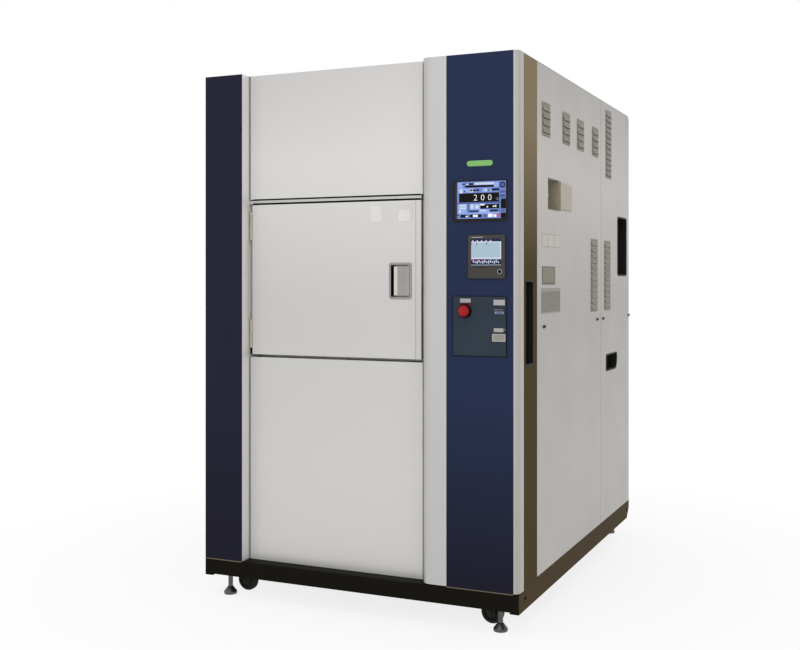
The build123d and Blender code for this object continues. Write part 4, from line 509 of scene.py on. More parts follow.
def rounded_outline(wide, tall, corner):
    """Round-cornered rectangle about the origin, counter-clockwise: a quarter circle of
    points about each corner's centre, at the angles of its own quarter."""
    angles = np.linspace(0, math.pi / 2, OUTLINE_STEPS)
    quarter = np.arange(4)[:, None] * math.pi / 2 + angles[None, :]
    centre_x = np.array((1, -1, -1, 1))[:, None] * (wide / 2 - corner)
    centre_y = np.array((1, 1, -1, -1))[:, None] * (tall / 2 - corner)
    across = centre_x + corner * np.cos(quarter)
    up = centre_y + corner * np.sin(quarter)
    return np.stack([across.ravel(), up.ravel()], axis=-1)


def placed(flat, heights, centre, view):
    """Points from two flat coordinates and a height along the view's outward normal, which
    is the first axis crossed with the second."""
    across, up = view
    out = np.cross(across, up)
    flat = np.asarray(flat, float)
    return (
        np.asarray(centre, float)
        + flat[..., 0:1] * across
        + flat[..., 1:2] * up
        + np.asarray(heights, float)[..., None] * out
    )


def raised_plate(wide, tall, thick, corner, edge, centre, view):
    """Flat plate with a rounded front edge. Row k of the grid is the round-cornered outline
    drawn in by edge times one minus the cosine of the row's angle, at thick less edge plus
    edge times its sine. Returns points and faces."""
    turn = np.linspace(0, math.pi / 2, 4)
    insets = np.concatenate([[0.0], edge * (1 - np.cos(turn))])
    heights = np.concatenate([[0.0], thick - edge + edge * np.sin(turn)])
    rows = []
    for inset, height in zip(insets, heights):
        radius = max(corner - inset, 0.00002)
        flat = rounded_outline(wide - 2 * inset, tall - 2 * inset, radius)
        rows.append(placed(flat, np.full(len(flat), height), centre, view))
    count = 4 * OUTLINE_STEPS
    faces = grid_faces(len(rows), count)
    top = (len(rows) - 1) * count
    faces.append(list(range(top, top + count)))
    faces.append(list(range(count))[::-1])
    return np.concatenate(rows), faces


def turned_shape(profile, centre, view, columns, ring=False):
    """Turned shape: each profile point, as radius and height, is carried round the outward
    normal through centre at equal angles. Discs close the first and last points, or quads
    that join both in a ring."""
    profile = np.asarray(profile, float)
    angles = np.arange(columns) * 2 * math.pi / columns
    across = profile[:, 0:1] * np.cos(angles)
    up = profile[:, 0:1] * np.sin(angles)
    heights = np.repeat(profile[:, 1:2], columns, axis=1)
    points = placed(np.stack([across, up], axis=-1), heights, centre, view)
    faces = grid_faces(len(profile), columns)
    first = np.arange(columns)
    last = first + (len(profile) - 1) * columns
    if ring:
        faces += np.stack([last, np.roll(last, -1), np.roll(first, -1), first], axis=-1).tolist()
    else:
        faces += [last.tolist(), first[::-1].tolist()]
    return points.reshape(-1, 3), faces


def joined(shapes):
    """Several shapes as one list of points and one of faces."""
    points, faces, offset = [], [], 0
    for shape_points, shape_faces in shapes:
        points.append(np.asarray(shape_points).reshape(-1, 3))
        faces.extend([[index + offset for index in face] for face in shape_faces])
        offset += len(points[-1])
    return np.concatenate(points), faces


def pan_screw(radius, centre, view, columns=16):
    """Pan head with a round recess: a turned profile that rises along a quarter ellipse and
    falls into the recess at its middle."""
    turn = np.linspace(0, math.pi / 2, 4)
    rim = np.stack([radius * (0.55 + 0.45 * np.cos(turn)), radius * 0.5 * np.sin(turn)], axis=-1)
    recess = np.array([(radius * 0.3, radius * 0.5), (radius * 0.22, radius * 0.2)])
    return turned_shape(np.concatenate([[[radius, 0.0]], rim, recess]), centre, view, columns)


def millimetres(*places):
    """Rows of millimetres as an array of metres."""
    return np.array(places) * MM


def patches(places, thick, corner, corner_point, view):
    """Thin raised plates. Each place is left, right, low and high in metres from a corner
    point, along the view's two axes. Returns one shape."""
    across, up = view
    shapes = []
    for left, right, low, high in places:
        centre = corner_point + across * (left + right) / 2 + up * (low + high) / 2
        wide, tall = right - left, high - low
        round_corner = min(corner, wide * 0.45, tall * 0.45)
        shapes.append(raised_plate(wide, tall, thick, round_corner, thick * 0.4, centre, view))
    return joined(shapes)


def add_plates(name, places, thick, corner, start, body, slot, look, view=FRONT_VIEW):
    """One piece of thin raised plates."""
    add_piece(name, *patches(places, thick, corner, start, view), body, slot, look=look)


def on_screen(tiles, wide, tall):
    """Places in metres from the lower left corner of a screen. A tile is left, right, top
    and bottom in hundredths of the screen, counted from its upper left corner."""
    return [
        (wide * left / 100, wide * right / 100, tall * (1 - bottom / 100), tall * (1 - top / 100))
        for left, right, top, bottom in tiles
    ]


def lettering(name, words, tall, centre, thick, spacing, look):
    """Words on the screen as a thin mesh: a text curve in the font that comes with Blender,
    thinned a little, turned into a mesh, centred and stood up facing the front."""
    curve = bpy.data.curves.new(name, "FONT")
    curve.body = words
    curve.size = tall / 0.72
    curve.space_character = spacing
    curve.extrude = thick / 2
    curve.resolution_u = 4
    curve.offset = -0.012 * curve.size
    writer = bpy.data.objects.new(name, curve)
    bpy.context.scene.collection.objects.link(writer)
    solid = writer.to_mesh()
    flat = np.array([tuple(vertex.co) for vertex in solid.vertices])
    faces = [list(polygon.vertices) for polygon in solid.polygons]
    writer.to_mesh_clear()
    bpy.data.objects.remove(writer)
    bpy.data.curves.remove(curve)
    flat[:, :2] -= (flat[:, :2].max(0) + flat[:, :2].min(0)) / 2
    points = placed(flat[:, :2], flat[:, 2] + thick / 2, centre, FRONT_VIEW)
    add_piece(name, points, faces, "control_column", "display_glass", look=look)


def ring_shape(outer, inner, thick, centre, view, columns=48):
    """Flat ring with soft rims: a turned profile that rises at the outer radius, crosses to
    the inner one and falls back."""
    soft = thick * 0.35
    profile = (
        (outer, 0.0), (outer, thick - soft), (outer - soft, thick),
        (inner + soft, thick), (inner, thick - soft), (inner, 0.0),
    )
    return turned_shape(profile, centre, view, columns, ring=True)


# Operators


class ChamberStep(bpy.types.Operator):
    """Base of the chamber's operators."""

    bl_options = {"REGISTER", "UNDO"}

    def execute(self, context):
        self.sizes = context.scene.chamber_sizes
        if not FINISHES:
            make_finishes(context.scene.chamber_colours, self.sizes.soft_edge)
        self.build(context)
        return {"FINISHED"}


class CHAMBER_OT_finishes(ChamberStep):
    """Give every carried-over solid its finish"""

    bl_idname = "chamber.finishes"
    bl_label = "Finishes of the solids"

    def build(self, context):
        for name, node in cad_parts.items():
            for place in node.material_slots:
                slot = place.material.name.split(".")[0]
                look = NODE_LOOKS.get(name, slot)
                if look not in FINISHES:
                    raise RuntimeError(f"no finish for {name}: {slot}")
                place.material = FINISHES[look].material


CORNERS = ("front_left", "front_right", "rear_left", "rear_right")
# Solids that wear another finish than their slot's own
NODE_LOOKS = {
    "left_column_inlay": "navy_left",
    "left_column_cover": "cover_paint",
    "control_fascia": "column_paint",
    "door_surround": "surround_steel",
    "base_frame": "base_paint",
    "base_deck": "machine_black",
    "side_vent_grilles": "vent_paint",
    "breaker_pocket": "pocket_paint",
    "breaker_flap": "flap_paint",
    "touch_panel": "touch_bezel",
    "recorder_button": "gap_black",
    "fascia_lock": "foot_metal",
    "hinge_frame_halves": "hinge_metal",
    "hinge_door_halves": "hinge_metal",
    "front_left_fork": "black_rubber",
    "front_right_fork": "black_rubber",
    **{f"{corner}_foot": "foot_metal" for corner in CORNERS},
}

# Bare labels in millimetres from the door's upper right corner
DOOR_GROUND = (-184, -29, -70, -8)
DOOR_MARKS = ((-182, -145, -67, -16), (-82, -40, -67, -31))
# Screws of the hinges: radius, distance from the half's edge and from its ends
HINGE_SCREW = (2.2, 3, 20)
# Margin at the ends of the bright strip, a painted highlight, as a multiple of the paddle's
NOSE_SHARE = 1.4


class CHAMBER_OT_door_fittings(ChamberStep):
    """Bare labels of the door, painted shade and a painted highlight on its handle, and the screws
    of its hinges
    """

    bl_idname = "chamber.door_fittings"
    bl_label = "Door labels, handle trims and hinge screws"

    def build(self, context):
        low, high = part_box("door_skin")
        film = self.sizes.film_thick
        corner = np.array((high.x, low.y, high.z))
        dress = ("door", "silver_paint")
        ground = millimetres(DOOR_GROUND)
        add_plates("door_label_ground", ground, film, 0.002, corner, *dress, "door_label")
        corner = corner - Y_AXIS * film
        marks = millimetres(*DOOR_MARKS)
        add_plates("door_label_marks", marks, film, 0.006, corner, *dress, "door_mark")
        self.handle(film)
        low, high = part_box("hinge_door_halves")
        radius, side, end = millimetres(HINGE_SCREW)[0]
        screws = [
            pan_screw(radius, (high.x - side, low.y, z), FRONT_VIEW, 12)
            for z in (low.z + end, high.z - end)
        ]
        add_piece("hinge_pin_heads", *joined(screws), "door", "zinc_steel", smooth=True)

    def handle(self, film):
        """Dark lining on the cup's left wall, a black film of painted shade, and a bright strip
        along the paddle's nose, a painted highlight.
        """
        low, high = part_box("handle_bezel")
        nose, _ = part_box("handle_paddle")
        rim, skip, margin = self.sizes.cup_rim, self.sizes.cup_skip, self.sizes.paddle_margin
        tall = high.z - low.z - 2 * rim
        wall = [(skip, high.y - low.y - skip, margin, tall - margin)]
        corner = np.array((low.x + rim, low.y, low.z + rim))
        dress = ("door", "handle_metal", "gap_black", RIGHT_VIEW)
        add_plates("handle_cup_lining", wall, film, 0.001, corner, *dress)
        margin *= NOSE_SHARE
        strip = [(self.sizes.nose_skip, self.sizes.nose_strip, margin, tall - margin)]
        corner = np.array((nose.x, nose.y, low.z + rim))
        dress = ("paddle", "handle_metal", "bright_nose")
        add_plates("handle_nose", strip, film, 0.001, corner, *dress)


class CHAMBER_OT_gap_seals(ChamberStep):
    """Dark strips in the gaps between the front panels, which stand in for the shade there as
    painted shadow, a pale strip of painted light in the recessed gap by the hinges, and the trims
    under the blue faces
    """

    bl_idname = "chamber.gap_seals"
    bl_label = "Gap seals and foot trims"

    def build(self, context):
        sizes = self.sizes
        upper_low, upper_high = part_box("upper_front_panel")
        lower_low, lower_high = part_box("lower_front_panel")
        door_low, door_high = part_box("door_skin")
        cover_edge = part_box("left_column_cover")[1].x
        head_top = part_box("door_surround")[1].z
        gap, seal = sizes.seal_gap, sizes.seal_depth
        bead, lap = sizes.corner_bead, sizes.head_seal_lap
        slit = (upper_high.x + gap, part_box("control_fascia")[0].x - gap)
        head = (door_low.x, door_high.x)
        side = (cover_edge + gap, door_low.x - 2 * gap)
        edge = (cover_edge + 2 * gap, cover_edge + 2 * gap + bead)
        heads = (
            (*head, door_high.z + gap, head_top - sizes.head_strip + lap),
            (*head, head_top - lap, upper_low.z - gap),
        )
        foot = (*side, door_low.z + gap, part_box("hinge_frame_halves")[0].z - 2 * gap)
        beads = (
            (*edge, lower_low.z, lower_high.z),
            (*edge, upper_low.z, upper_high.z - gap),
        )
        slit_back = upper_low.y + sizes.seal_recess + seal
        head_back = upper_low.y - lap / 3 + seal
        side_back = door_low.y + sizes.hinge_seal_recess + seal
        # Name, back face, thickness, corner radius, look and places
        # Dark strips are painted shadow in the gaps; the pale strip by the hinges is painted light
        # on the recessed frame
        for name, back, thick, corner, look, *places in (
            ("upper_column_seal", slit_back, seal, 0.001, "gap_seal",
             (*slit, upper_low.z, upper_high.z - gap)),
            ("lower_column_seal", slit_back, seal, 0.001, "gap_seal",
             (*slit, lower_low.z, lower_high.z)),
            ("head_gap_seals", head_back, seal, 0.0005, "gap_black", *heads),
            ("hinge_side_seal", side_back, seal, 0.001, "hinge_seal",
             (*side, door_low.z + gap, door_high.z - gap)),
            ("hinge_foot_seal", door_low.y + 2 * bead, bead, 0.001, "gap_black", foot),
            ("corner_beads", upper_low.y, sizes.plate_thick, 0.001, "gap_seal", *beads),
        ):
            dress = ("cabinet", "gasket_rubber", look)
            add_plates(name, places, thick, corner, Y_AXIS * back, *dress)
        front = Y_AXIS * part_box("base_frame")[0].y
        dress = ("cabinet", "olive_paint", "trim_brown")
        for hand, node in (("left", "left_column_inlay"), ("right", "control_inlay")):
            low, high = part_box(node)
            place = [(low.x, high.x, low.z - sizes.trim_height - gap, low.z - gap)]
            add_plates(f"{hand}_foot_trim", place, sizes.plate_thick, 0.0008, front, *dress)


# The operator panel's picture. Name, look, layer, and tiles as left, right, top and bottom
# in hundredths of the screen
SCREEN_LAYERS = (
    ("screen_ground", "lit_ground", 0, (0, 100, 0, 100)),
    ("screen_sky", "lit_sky", 1,
     (2, 14, 2, 28), (60, 86, 3, 16), (3, 25, 18, 29), (52, 70, 19, 29),
     (2, 24, 60, 86), (26, 48, 60, 76), (46, 66, 76, 84), (2, 88, 84, 88)),
    ("screen_pale", "lit_pale", 2,
     (36, 76, 3, 9), (5, 11, 20, 34), (26, 34, 19, 29), (58, 66, 20, 27),
     (5, 19, 62, 74), (28, 34, 62, 74), (38, 45, 63, 74), (47, 60, 77, 81)),
    ("screen_steel", "lit_steel", 1,
     (88, 99, 2, 20), (88, 99, 25, 33), (88, 99, 36, 46), (90, 99, 77, 84),
     (20, 26, 60, 84), (54, 62, 88, 98)),
    ("screen_deep", "lit_deep", 2,
     (0, 100, 57, 59), (86, 87, 2, 86), (12, 16, 11, 14), (90, 97, 39, 41),
     (26, 44, 78, 83), (62, 67, 20, 28), (0, 4, 88, 92)),
    ("screen_dark", "lit_dark", 3,
     (10, 16, 4, 8), (18, 22, 4, 7), (24, 34, 4, 9), (17, 76, 10, 16),
     (27, 32, 21, 26), (33, 39, 21, 26), (40, 46, 21, 26), (72, 86, 20, 26),
     (4, 86, 31, 56), (48, 87, 62, 74), (90, 100, 48, 75), (68, 84, 77, 82),
     (7, 23, 89, 97), (26, 51, 89, 97), (90, 100, 86, 100), (14, 17, 24, 28)),
    ("screen_white", "lit_white", 4,
     (48, 57, 61, 65), (61, 64, 67, 71), (74, 77, 66, 70), (78, 81, 65, 70),
     (4, 8, 78, 82), (18, 22, 92, 96), (33, 43, 90, 96), (64, 73, 88, 97),
     (75, 81, 90, 97), (20, 23, 5, 8)),
    ("screen_red", "lit_red", 4, (82, 90, 88, 91), (84, 87, 92, 97)),
    ("screen_cyan", "lit_cyan", 4, (5, 19, 67, 69)),
)
# How many thicknesses a picture's layers are apart, and its words from the ground
LAYER_STEP, WORD_LEVEL = 0.4, 2.4
# Words on the screen: name, text, then height, place across and place up as shares of the
# screen, letter spacing and look
SCREEN_WORDS = (
    ("screen_digits", "200", 0.168, 0.53, 0.565, 1.75, "lit_white"),
    ("screen_unit", "\u00b0C", 0.06, 0.825, 0.515, 0.9, "lit_pale"),
)
# Ring on the screen: place across and up, and outer and inner radius by the height
SCREEN_RING = (0.935, 0.89, 0.075, 0.045)


def picture(layers, wide, tall, thick, soft, corner):
    """Layers of tiles as pieces on the column, from the screen's lower left corner."""
    for name, look, level, *tiles in layers:
        start = corner - Y_AXIS * thick * level * LAYER_STEP
        places = on_screen(tiles, wide, tall)
        add_plates(name, places, thick, soft, start, "control_column", "display_glass", look)


class CHAMBER_OT_operator_screen(ChamberStep):
    """Lit picture of the operator panel, with a made-up layout and a temperature"""

    bl_idname = "chamber.operator_screen"
    bl_label = "Operator screen"

    def build(self, context):
        low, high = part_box("touch_panel")
        sizes = self.sizes
        film = sizes.film_thick
        wide = high.x - low.x - sizes.touch_left - sizes.touch_right
        tall = high.z - low.z - sizes.touch_top - sizes.touch_foot
        corner = np.array((low.x + sizes.touch_left, low.y, low.z + sizes.touch_foot))
        picture(SCREEN_LAYERS, wide, tall, film, 0.0012, corner)
        for name, words, size, across, up, spacing, look in SCREEN_WORDS:
            place = corner + X_AXIS * wide * across + Z_AXIS * tall * up
            place = place - Y_AXIS * film * WORD_LEVEL
            lettering(name, words, tall * size, place, film, spacing, look)
        across, up, outer, inner = SCREEN_RING
        place = corner + X_AXIS * wide * across + Z_AXIS * tall * up - Y_AXIS * film
        ring = ring_shape(tall * outer, tall * inner, film, place, FRONT_VIEW)
        add_piece("screen_ring", *ring, "control_column", "display_glass", look="lit_navy")


# The recorder in millimetres: width and height of its picture, bezel above it, and the pale
# bar and dark line on the bezel from the picture's lower left corner
RECORDER_WIDE, RECORDER_TALL, RECORDER_TOP = 99, 83, 12
RECORDER_BAR = (1, 39, 86.5, 88.8)
RECORDER_LINE = (18, 45, -8.5, -6.8)
# Ring round its button: clearance, width and thickness
RECORDER_RING = (2.6, 1.9, 0.8)


class CHAMBER_OT_recorder_face(ChamberStep):
    """Lit picture of the recorder, its marks and the ring of its button"""

    bl_idname = "chamber.recorder_face"
    bl_label = "Recorder face"

    def build(self, context):
        low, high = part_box("chart_recorder")
        film = self.sizes.film_thick
        wide, tall = RECORDER_WIDE * MM, RECORDER_TALL * MM
        left = (low.x + high.x - wide) / 2
        corner = np.array((left, low.y, high.z - RECORDER_TOP * MM - tall))
        # A jagged trace, a row of figures and dashes, all made up, in hundredths
        trace = [
            (4 + 5 * wave, 7.5 + 5 * wave, 5 + 4 * (wave * 5 % 3), 12 + 3 * (wave * 7 % 2))
            for wave in range(14)
        ]
        rules = [
            (6 + 6.4 * wave, 9.4 + 6.4 * wave, 80 + 2.5 * (wave * 5 % 3), 90 + 2 * (wave % 3))
            for wave in range(14)
        ]
        dashes = [(2 + 6 * wave, 6 + 6 * wave, 76.5, 78.5) for wave in range(9)]
        layers = (
            ("recorder_ground", "lit_trace", 0, (0, 100, 0, 100)),
            ("recorder_header", "lit_navy", 1, (0, 100, 0, 11), (0, 100, 78, 98), (0, 2, 11, 20)),
            ("recorder_trace", "lit_pale", 2, *trace, (0, 100, 11, 15), (96, 100, 11, 76)),
            ("recorder_rules", "lit_pale", 2, (0, 100, 71, 75), *rules),
            ("recorder_red", "lit_red", 3, *dashes, (0, 7, 80, 82)),
            ("recorder_marks", "lit_deep", 3, (17, 19, 14, 25), (50, 53, 14, 22)),
        )
        picture(layers, wide, tall, film, 0.0008, corner)
        dress = ("control_column", "instrument_plastic")
        bar, line = millimetres(RECORDER_BAR), millimetres(RECORDER_LINE)
        add_plates("recorder_bar", bar, film, 0.001, corner, *dress, "meter_rim")
        add_plates("recorder_line", line, film, 0.0005, corner, *dress, "black_rubber")
        button_low, button_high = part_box("recorder_button")
        middle = np.array((button_low + button_high) / 2)
        middle[1] = low.y
        gap, width, thick = millimetres(RECORDER_RING)[0]
        outer = (button_high.x - button_low.x) / 2 + gap
        ring = ring_shape(outer, outer - width, thick, middle, FRONT_VIEW)
        add_piece("recorder_button_ring", *ring, *dress, look="button_silver")


# The switch panel in millimetres from its lower left corner: bare plates, then films as
# name, look, distance off the panel, corner radius and places
SWITCH_PLATES = ((25.5, 61.2, 168.5, 181.2), (137, 174.5, 161, 178.5), (138, 169.7, 77.5, 89.5))
SWITCH_FILMS = (
    ("hour_meter_rim", "meter_rim", 3, 1, (133.5, 177, 48, 72)),
    ("hour_meter_face", "meter_face", 3.2, 1, (136.5, 174.5, 51, 69.5)),
    ("hour_meter_wells", "grey_rim", 3.4, 1,
     *((138.5 + 5.8 * place, 142.8 + 5.8 * place, 57, 65) for place in range(6))),
    ("counter_rim", "switch_paint", 2, 0.6, (135, 174, 132, 152)),
    ("counter_screen", "counter_blue", 2.2, 0.6, (141, 171.5, 133.5, 142.5)),
    ("counter_bars", "grey_rim", 2.2, 0.6, (138, 155, 146.2, 147.8), (157, 168, 146.2, 147.8)),
    ("counter_cells", "counter_pale", 2.4, 0.6,
     (143.5, 146.5, 135, 141), (167.5, 170.5, 135, 141)),
)
# Width of the dark border, a line of painted shadow, the stop button's guard and its thickness,
# and the collar's outer and inner radius and thickness
SWITCH_SHADOW_WIDTH = 2.1
STOP_GUARD, GUARD_THICK = (26.5, 61.5, 155, 166), 2.2
STOP_COLLAR = (22.4, 7.5, 6.3)


class CHAMBER_OT_switch_face(ChamberStep):
    """Bare plates, counter, hour meter and the black collar of the stop button, whose black is
    painted shadow of the head
    """

    bl_idname = "chamber.switch_face"
    bl_label = "Switch panel face"

    def build(self, context):
        low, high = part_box("switch_panel")
        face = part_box("control_inlay")[0].y - self.sizes.switch_sheet
        corner = np.array((low.x, face, low.z))
        film = self.sizes.film_thick
        dress = ("control_column", "switch_paint")
        plates, guard = millimetres(*SWITCH_PLATES), millimetres(STOP_GUARD)
        thick = self.sizes.plate_thick
        add_plates("switch_bare_plates", plates, thick, 0.001, corner, *dress, "bare_plate")
        # Painted shadow: a black line round the panel's edges
        wide, tall, line = high.x - low.x, high.z - low.z, SWITCH_SHADOW_WIDTH * MM
        border = (
            (0, wide, 0, line), (0, wide, tall - line, tall),
            (0, line, 0, tall), (wide - line, wide, 0, tall),
        )
        add_plates("switch_border", border, film, 0.0003, corner, *dress, "gap_black")
        for name, look, off, soft, *places in SWITCH_FILMS:
            start = corner - Y_AXIS * off * MM
            add_plates(name, millimetres(*places), film, soft * MM, start, *dress, look)
        low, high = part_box("estop_button")
        middle = np.array((low + high) / 2)
        middle[1] = face
        # Collar round the stop head, black as painted shadow of the head
        collar = ring_shape(*millimetres(STOP_COLLAR)[0], middle, FRONT_VIEW)
        add_piece("stop_collar", *collar, *dress, smooth=True, look="gap_black")
        add_plates("stop_guard", guard, GUARD_THICK * MM, 0.001, corner, *dress, "stop_dark")


# The sides in millimetres from their front and the base's foot: height and places of the
# latches, places and height of the beams' bolts, and the slot of each beam
LATCH_LEVEL, LATCH_PLACES = 882, (268, 986, 1080, 1541)
BOLT_LEVEL, BOLT_PLACES, BOLT_RADIUS = 36, (67, 1511), 6
SLOT_MIDDLE, SLOT_HALF, SLOT_LEVELS = 950, 6, (14, 52)
# Screws of the vent plates: radius and distance from the plate's edges
VENT_SCREW, VENT_INSET = 2, 4
# Screws of the back: distance from its side edges, foot and top, and how many in a row
BACK_SIDE, BACK_FOOT, BACK_TOP, BACK_COUNT = 14, 40, 90, 7
# Vent plates of each side in millimetres: middle from the front, width, drop below the top
# and height, as in the part
VENT_PLACES = (
    *((middle, 92, 123, 112) for middle in (291, 538, 732, 952)),
    (1169, 90, 27, 275),
    (937, 98, 556, 281),
    (1151, 98, 556, 281),
)


class CHAMBER_OT_side_fittings(ChamberStep):
    """Bare plates, latches and screws of the sides and the back"""

    bl_idname = "chamber.side_fittings"
    bl_label = "Side plates, latches and screws"

    def build(self, context):
        base_low, base_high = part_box("base_frame")
        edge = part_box("right_front_side_panel")[1].x
        corner = np.array((edge, base_low.y, self.sizes.base_lift))
        film, plate = self.sizes.film_thick, self.sizes.plate_thick
        # Name, look, thickness, distance off the side, and places in millimetres
        for name, look, thick, off, *places in (
            ("side_label", "label_rim", film, 0, (243, 460, 1146, 1192)),
            ("side_label_face", "pale_label", film, film,
             (247, 310, 1150, 1188), (318, 383, 1150, 1188), (391, 456, 1150, 1188)),
            ("rating_plate", "bronze_rim", plate, 0, (245, 398, 1021, 1082)),
            ("rating_plate_face", "bronze_plate", film, plate, (252, 391, 1028, 1078)),
            ("data_plate", "grey_rim", plate, 0, (236, 460, 925, 1009)),
            ("data_plate_face", "grey_plate", film, plate, (241, 455, 930, 998)),
        ):
            dress = ("cabinet", "side_paint", look, RIGHT_VIEW)
            start = corner + X_AXIS * off
            add_plates(name, millimetres(*places), thick, 0.002, start, *dress)
        self.latches(corner)
        self.base_marks(base_low, base_high)
        self.vent_screws()
        self.back_screws()

    def latches(self, corner):
        """Quarter-turn latches: a washer and a head with a wing on each side panel."""
        radius = self.sizes.latch_radius
        long, half, head, top = radius * 1.9, radius * 0.55, radius * 0.7, radius * 0.5
        profile = [(head, 0.0), (head, 0.0016), (top, 0.0024)]
        rims, heads = [], []
        for place in LATCH_PLACES:
            centre = corner + Y_AXIS * place * MM + Z_AXIS * LATCH_LEVEL * MM
            rims.append(ring_shape(radius, radius * 0.72, 0.0012, centre, RIGHT_VIEW, 32))
            heads.append(turned_shape(profile, centre, RIGHT_VIEW, 24))
            start = centre + X_AXIS * profile[-1][1]
            heads.append(patches([(-long, long, -half, half)], 0.0012, 0.003, start, RIGHT_VIEW))
        dress = ("cabinet", "zinc_steel")
        add_piece("latch_rims", *joined(rims), *dress, smooth=True, look="foot_metal")
        add_piece("latch_heads", *joined(heads), *dress, smooth=True, look="black_rubber")

    def base_marks(self, low, high):
        """Dark slot and bolt heads in the base's side beams."""
        marks = []
        for side, view, x in ((1, RIGHT_VIEW, high.x), (-1, LEFT_VIEW, low.x)):
            start = np.array((x, low.y, self.sizes.base_lift))
            for place in BOLT_PLACES:
                centre = start + Y_AXIS * place * MM + Z_AXIS * BOLT_LEVEL * MM
                marks.append(pan_screw(BOLT_RADIUS * MM, centre, view, 20))
            middle = side * SLOT_MIDDLE
            slot = millimetres((middle - SLOT_HALF, middle + SLOT_HALF, *SLOT_LEVELS))
            marks.append(patches(slot, 0.0006, 0.005, start, view))
        dress = ("cabinet", "olive_paint")
        add_piece("base_bolts", *joined(marks), *dress, smooth=True, look="machine_black")

    def vent_screws(self):
        """A small screw in every corner of the side vent plates."""
        low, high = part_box("side_vent_grilles")
        inlay_low, inlay_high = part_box("control_inlay")
        proud, inset = self.sizes.louvre_proud, VENT_INSET * MM
        screws = []
        for middle, wide, drop, tall in np.array(VENT_PLACES) * MM:
            for face, view in ((high.x - proud, RIGHT_VIEW), (low.x + proud, LEFT_VIEW)):
                for across, up in ((-1, -1), (-1, 1), (1, -1), (1, 1)):
                    y = inlay_low.y + middle + across * (wide / 2 - inset)
                    z = inlay_high.z - drop - tall / 2 + up * (tall / 2 - inset)
                    screws.append(pan_screw(VENT_SCREW * MM, (face, y, z), view, 10))
        add_piece("vent_screws", *joined(screws), "cabinet", "zinc_steel", smooth=True)

    def back_screws(self):
        """Screws along both upright edges of the back panel."""
        low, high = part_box("back_panel")
        side, foot, top = millimetres((BACK_SIDE, BACK_FOOT, BACK_TOP))[0]
        screws = [
            pan_screw(self.sizes.screw_radius, (x, high.y, z), BACK_VIEW)
            for x in (low.x + side, high.x - side)
            for z in np.linspace(low.z + foot, high.z - top, BACK_COUNT)
        ]
        add_piece("back_screws", *joined(screws), "cabinet", "zinc_steel", smooth=True)


def seen_rays(tree):
    """One for what the camera sees directly, in mirrors or through glass, else zero."""
    path = tree.nodes.new("ShaderNodeLightPath")
    total = path.outputs["Is Camera Ray"]
    for ray in ("Is Glossy Ray", "Is Transmission Ray"):
        both = tree.nodes.new("ShaderNodeMath")
        both.operation = "MAXIMUM"
        tree.links.new(total, both.inputs[0])
        tree.links.new(path.outputs[ray], both.inputs[1])
        total = both.outputs[0]
    return total


# Floor: half its side and its tint, the distances between which it turns white and the
# shares of white there
FLOOR_REACH = 30.0
FLOOR_TINT = (0.82, 0.82, 0.81, 1.0)
FLOOR_FADE = (0.6, 2.0, 0.82, 1.0)
# Light from around, and lamps as name, place, side in metres and power in watts
ROOM_TINT, ROOM_LIGHT = (0.83, 0.82, 0.81, 1.0), 0.9
LAMPS = (
    ("overhead_lamp", (0.4, -2.0, 5.0), 4.0, 34.0),
    ("front_lamp", (0.4, -7.5, 2.4), 4.5, 70.0),
    ("right_lamp", (5.5, -3.6, 2.4), 4.0, 32.0),
)
LAMP_AIM = (0.0, 0.0, 0.95)
# Camera as fitted to the photograph, with its turns in degrees
CAMERA_PLACE = (1.625, -4.000, 1.112)
CAMERA_TURN = (90.0, 0.0, 24.22)
CAMERA_LENS, CAMERA_SENSOR, CAMERA_SHIFT = 49.1, 36.0, -0.0583


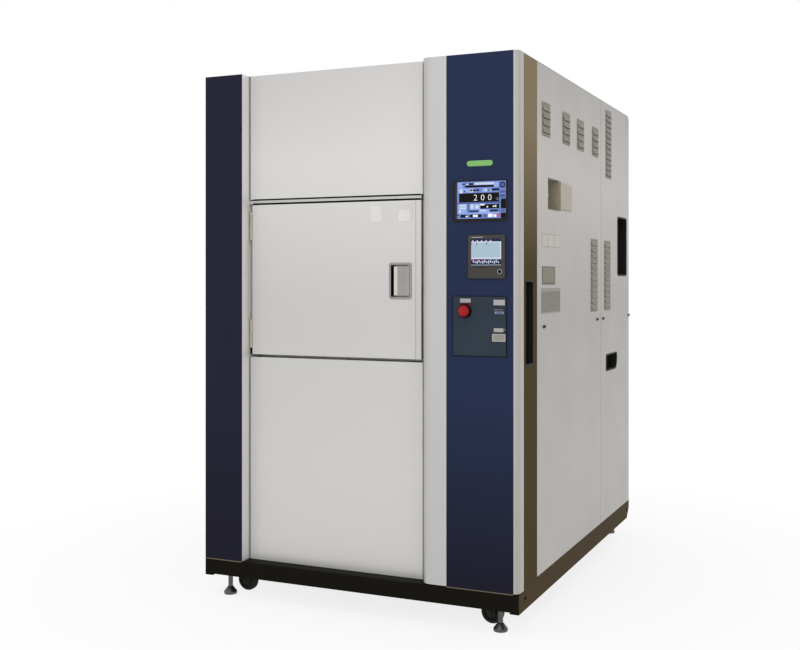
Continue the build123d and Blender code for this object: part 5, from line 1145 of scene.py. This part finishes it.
class CHAMBER_OT_stage(ChamberStep):
    """Floor, light and camera"""

    bl_idname = "chamber.stage"
    bl_label = "Stage, light and camera"

    def build(self, context):
        scene = context.scene
        self.floor(scene)
        self.light(scene)
        self.camera(scene)
        scene.view_settings.view_transform = "Standard"

    def floor(self, scene):
        """Pale floor: the camera, mirrors and glass see it as plain white at a distance and
        with part of the chamber's shadow near it."""
        mesh = bpy.data.meshes.new("floor")
        corners = np.array([(-1, -1, 0), (1, -1, 0), (1, 1, 0), (-1, 1, 0)]) * FLOOR_REACH
        mesh.from_pydata(corners.tolist(), [], [(0, 1, 2, 3)])
        floor = bpy.data.objects.new("floor", mesh)
        scene.collection.objects.link(floor)
        shader = Shader("pale_floor", Base_Color=FLOOR_TINT, Roughness=0.8)
        mesh.materials.append(shader.material)
        away = shader.add("ShaderNodeVectorMath", {0: shader.points}, operation="LENGTH")
        near = shader.ramp(away.outputs["Value"], *FLOOR_FADE)
        share = shader.maths("MULTIPLY", near, seen_rays(shader.tree))
        white = shader.add("ShaderNodeEmission", {"Strength": 1.0}).outputs[0]
        feeds = {0: share, 1: shader.surface.outputs[0], 2: white}
        mixed = shader.add("ShaderNodeMixShader", feeds)
        output = shader.tree.nodes["Material Output"]
        shader.tree.links.new(mixed.outputs[0], output.inputs["Surface"])

    def light(self, scene):
        """Even pale surroundings with three large soft lamps."""
        world = bpy.data.worlds.new("studio")
        scene.world = world
        world.use_nodes = True
        tree = world.node_tree
        room = tree.nodes["Background"]
        white = tree.nodes.new("ShaderNodeBackground")
        for ground, tint, power in ((room, ROOM_TINT, ROOM_LIGHT), (white, (1, 1, 1, 1), 1.0)):
            ground.inputs["Color"].default_value = tint
            ground.inputs["Strength"].default_value = power
        both = tree.nodes.new("ShaderNodeMixShader")
        for place, value in enumerate((seen_rays(tree), room.outputs[0], white.outputs[0])):
            tree.links.new(value, both.inputs[place])
        tree.links.new(both.outputs[0], tree.nodes["World Output"].inputs["Surface"])
        for name, place, side, power in LAMPS:
            data = bpy.data.lights.new(name, "AREA")
            data.size = side
            data.energy = power
            lamp = bpy.data.objects.new(name, data)
            lamp.location = place
            aim = Vector(LAMP_AIM) - Vector(place)
            lamp.rotation_euler = aim.to_track_quat("-Z", "Y").to_euler()
            scene.collection.objects.link(lamp)

    def camera(self, scene):
        """Level camera at the photographed angle."""
        data = bpy.data.cameras.new("camera")
        data.lens = CAMERA_LENS
        data.sensor_width = CAMERA_SENSOR
        data.shift_y = CAMERA_SHIFT
        camera = bpy.data.objects.new("camera", data)
        camera.location = CAMERA_PLACE
        camera.rotation_euler = [math.radians(turn) for turn in CAMERA_TURN]
        scene.collection.objects.link(camera)
        scene.camera = camera


class CHAMBER_PT_panel(bpy.types.Panel):
    """Lists the chamber's steps and values"""

    bl_idname = "CHAMBER_PT_panel"
    bl_label = "Test chamber"
    bl_space_type = "VIEW_3D"
    bl_region_type = "UI"
    bl_category = "Chamber"

    def draw(self, context):
        for step in STEPS:
            self.layout.operator(step.bl_idname)
        for group in (context.scene.chamber_sizes, context.scene.chamber_colours):
            box = self.layout.box()
            for name in group.__annotations__:
                box.prop(group, name)


STEPS = (
    CHAMBER_OT_finishes,
    CHAMBER_OT_door_fittings,
    CHAMBER_OT_gap_seals,
    CHAMBER_OT_operator_screen,
    CHAMBER_OT_recorder_face,
    CHAMBER_OT_switch_face,
    CHAMBER_OT_side_fittings,
    CHAMBER_OT_stage,
)
GROUPS = (ChamberColours, ChamberSizes)


def register():
    """Register the classes and attach the property groups to the scene."""
    for item in (*GROUPS, *STEPS, CHAMBER_PT_panel):
        bpy.utils.register_class(item)
    bpy.types.Scene.chamber_colours = bpy.props.PointerProperty(type=ChamberColours)
    bpy.types.Scene.chamber_sizes = bpy.props.PointerProperty(type=ChamberSizes)


def unregister():
    """Undo register."""
    del bpy.types.Scene.chamber_colours
    del bpy.types.Scene.chamber_sizes
    for item in reversed((*GROUPS, *STEPS, CHAMBER_PT_panel)):
        bpy.utils.unregister_class(item)


def main():
    """Dress the chamber and set the stage."""
    register()
    for step in STEPS:
        group, action = step.bl_idname.split(".")
        getattr(getattr(bpy.ops, group), action)()


if __name__ == "__main__":
    main()
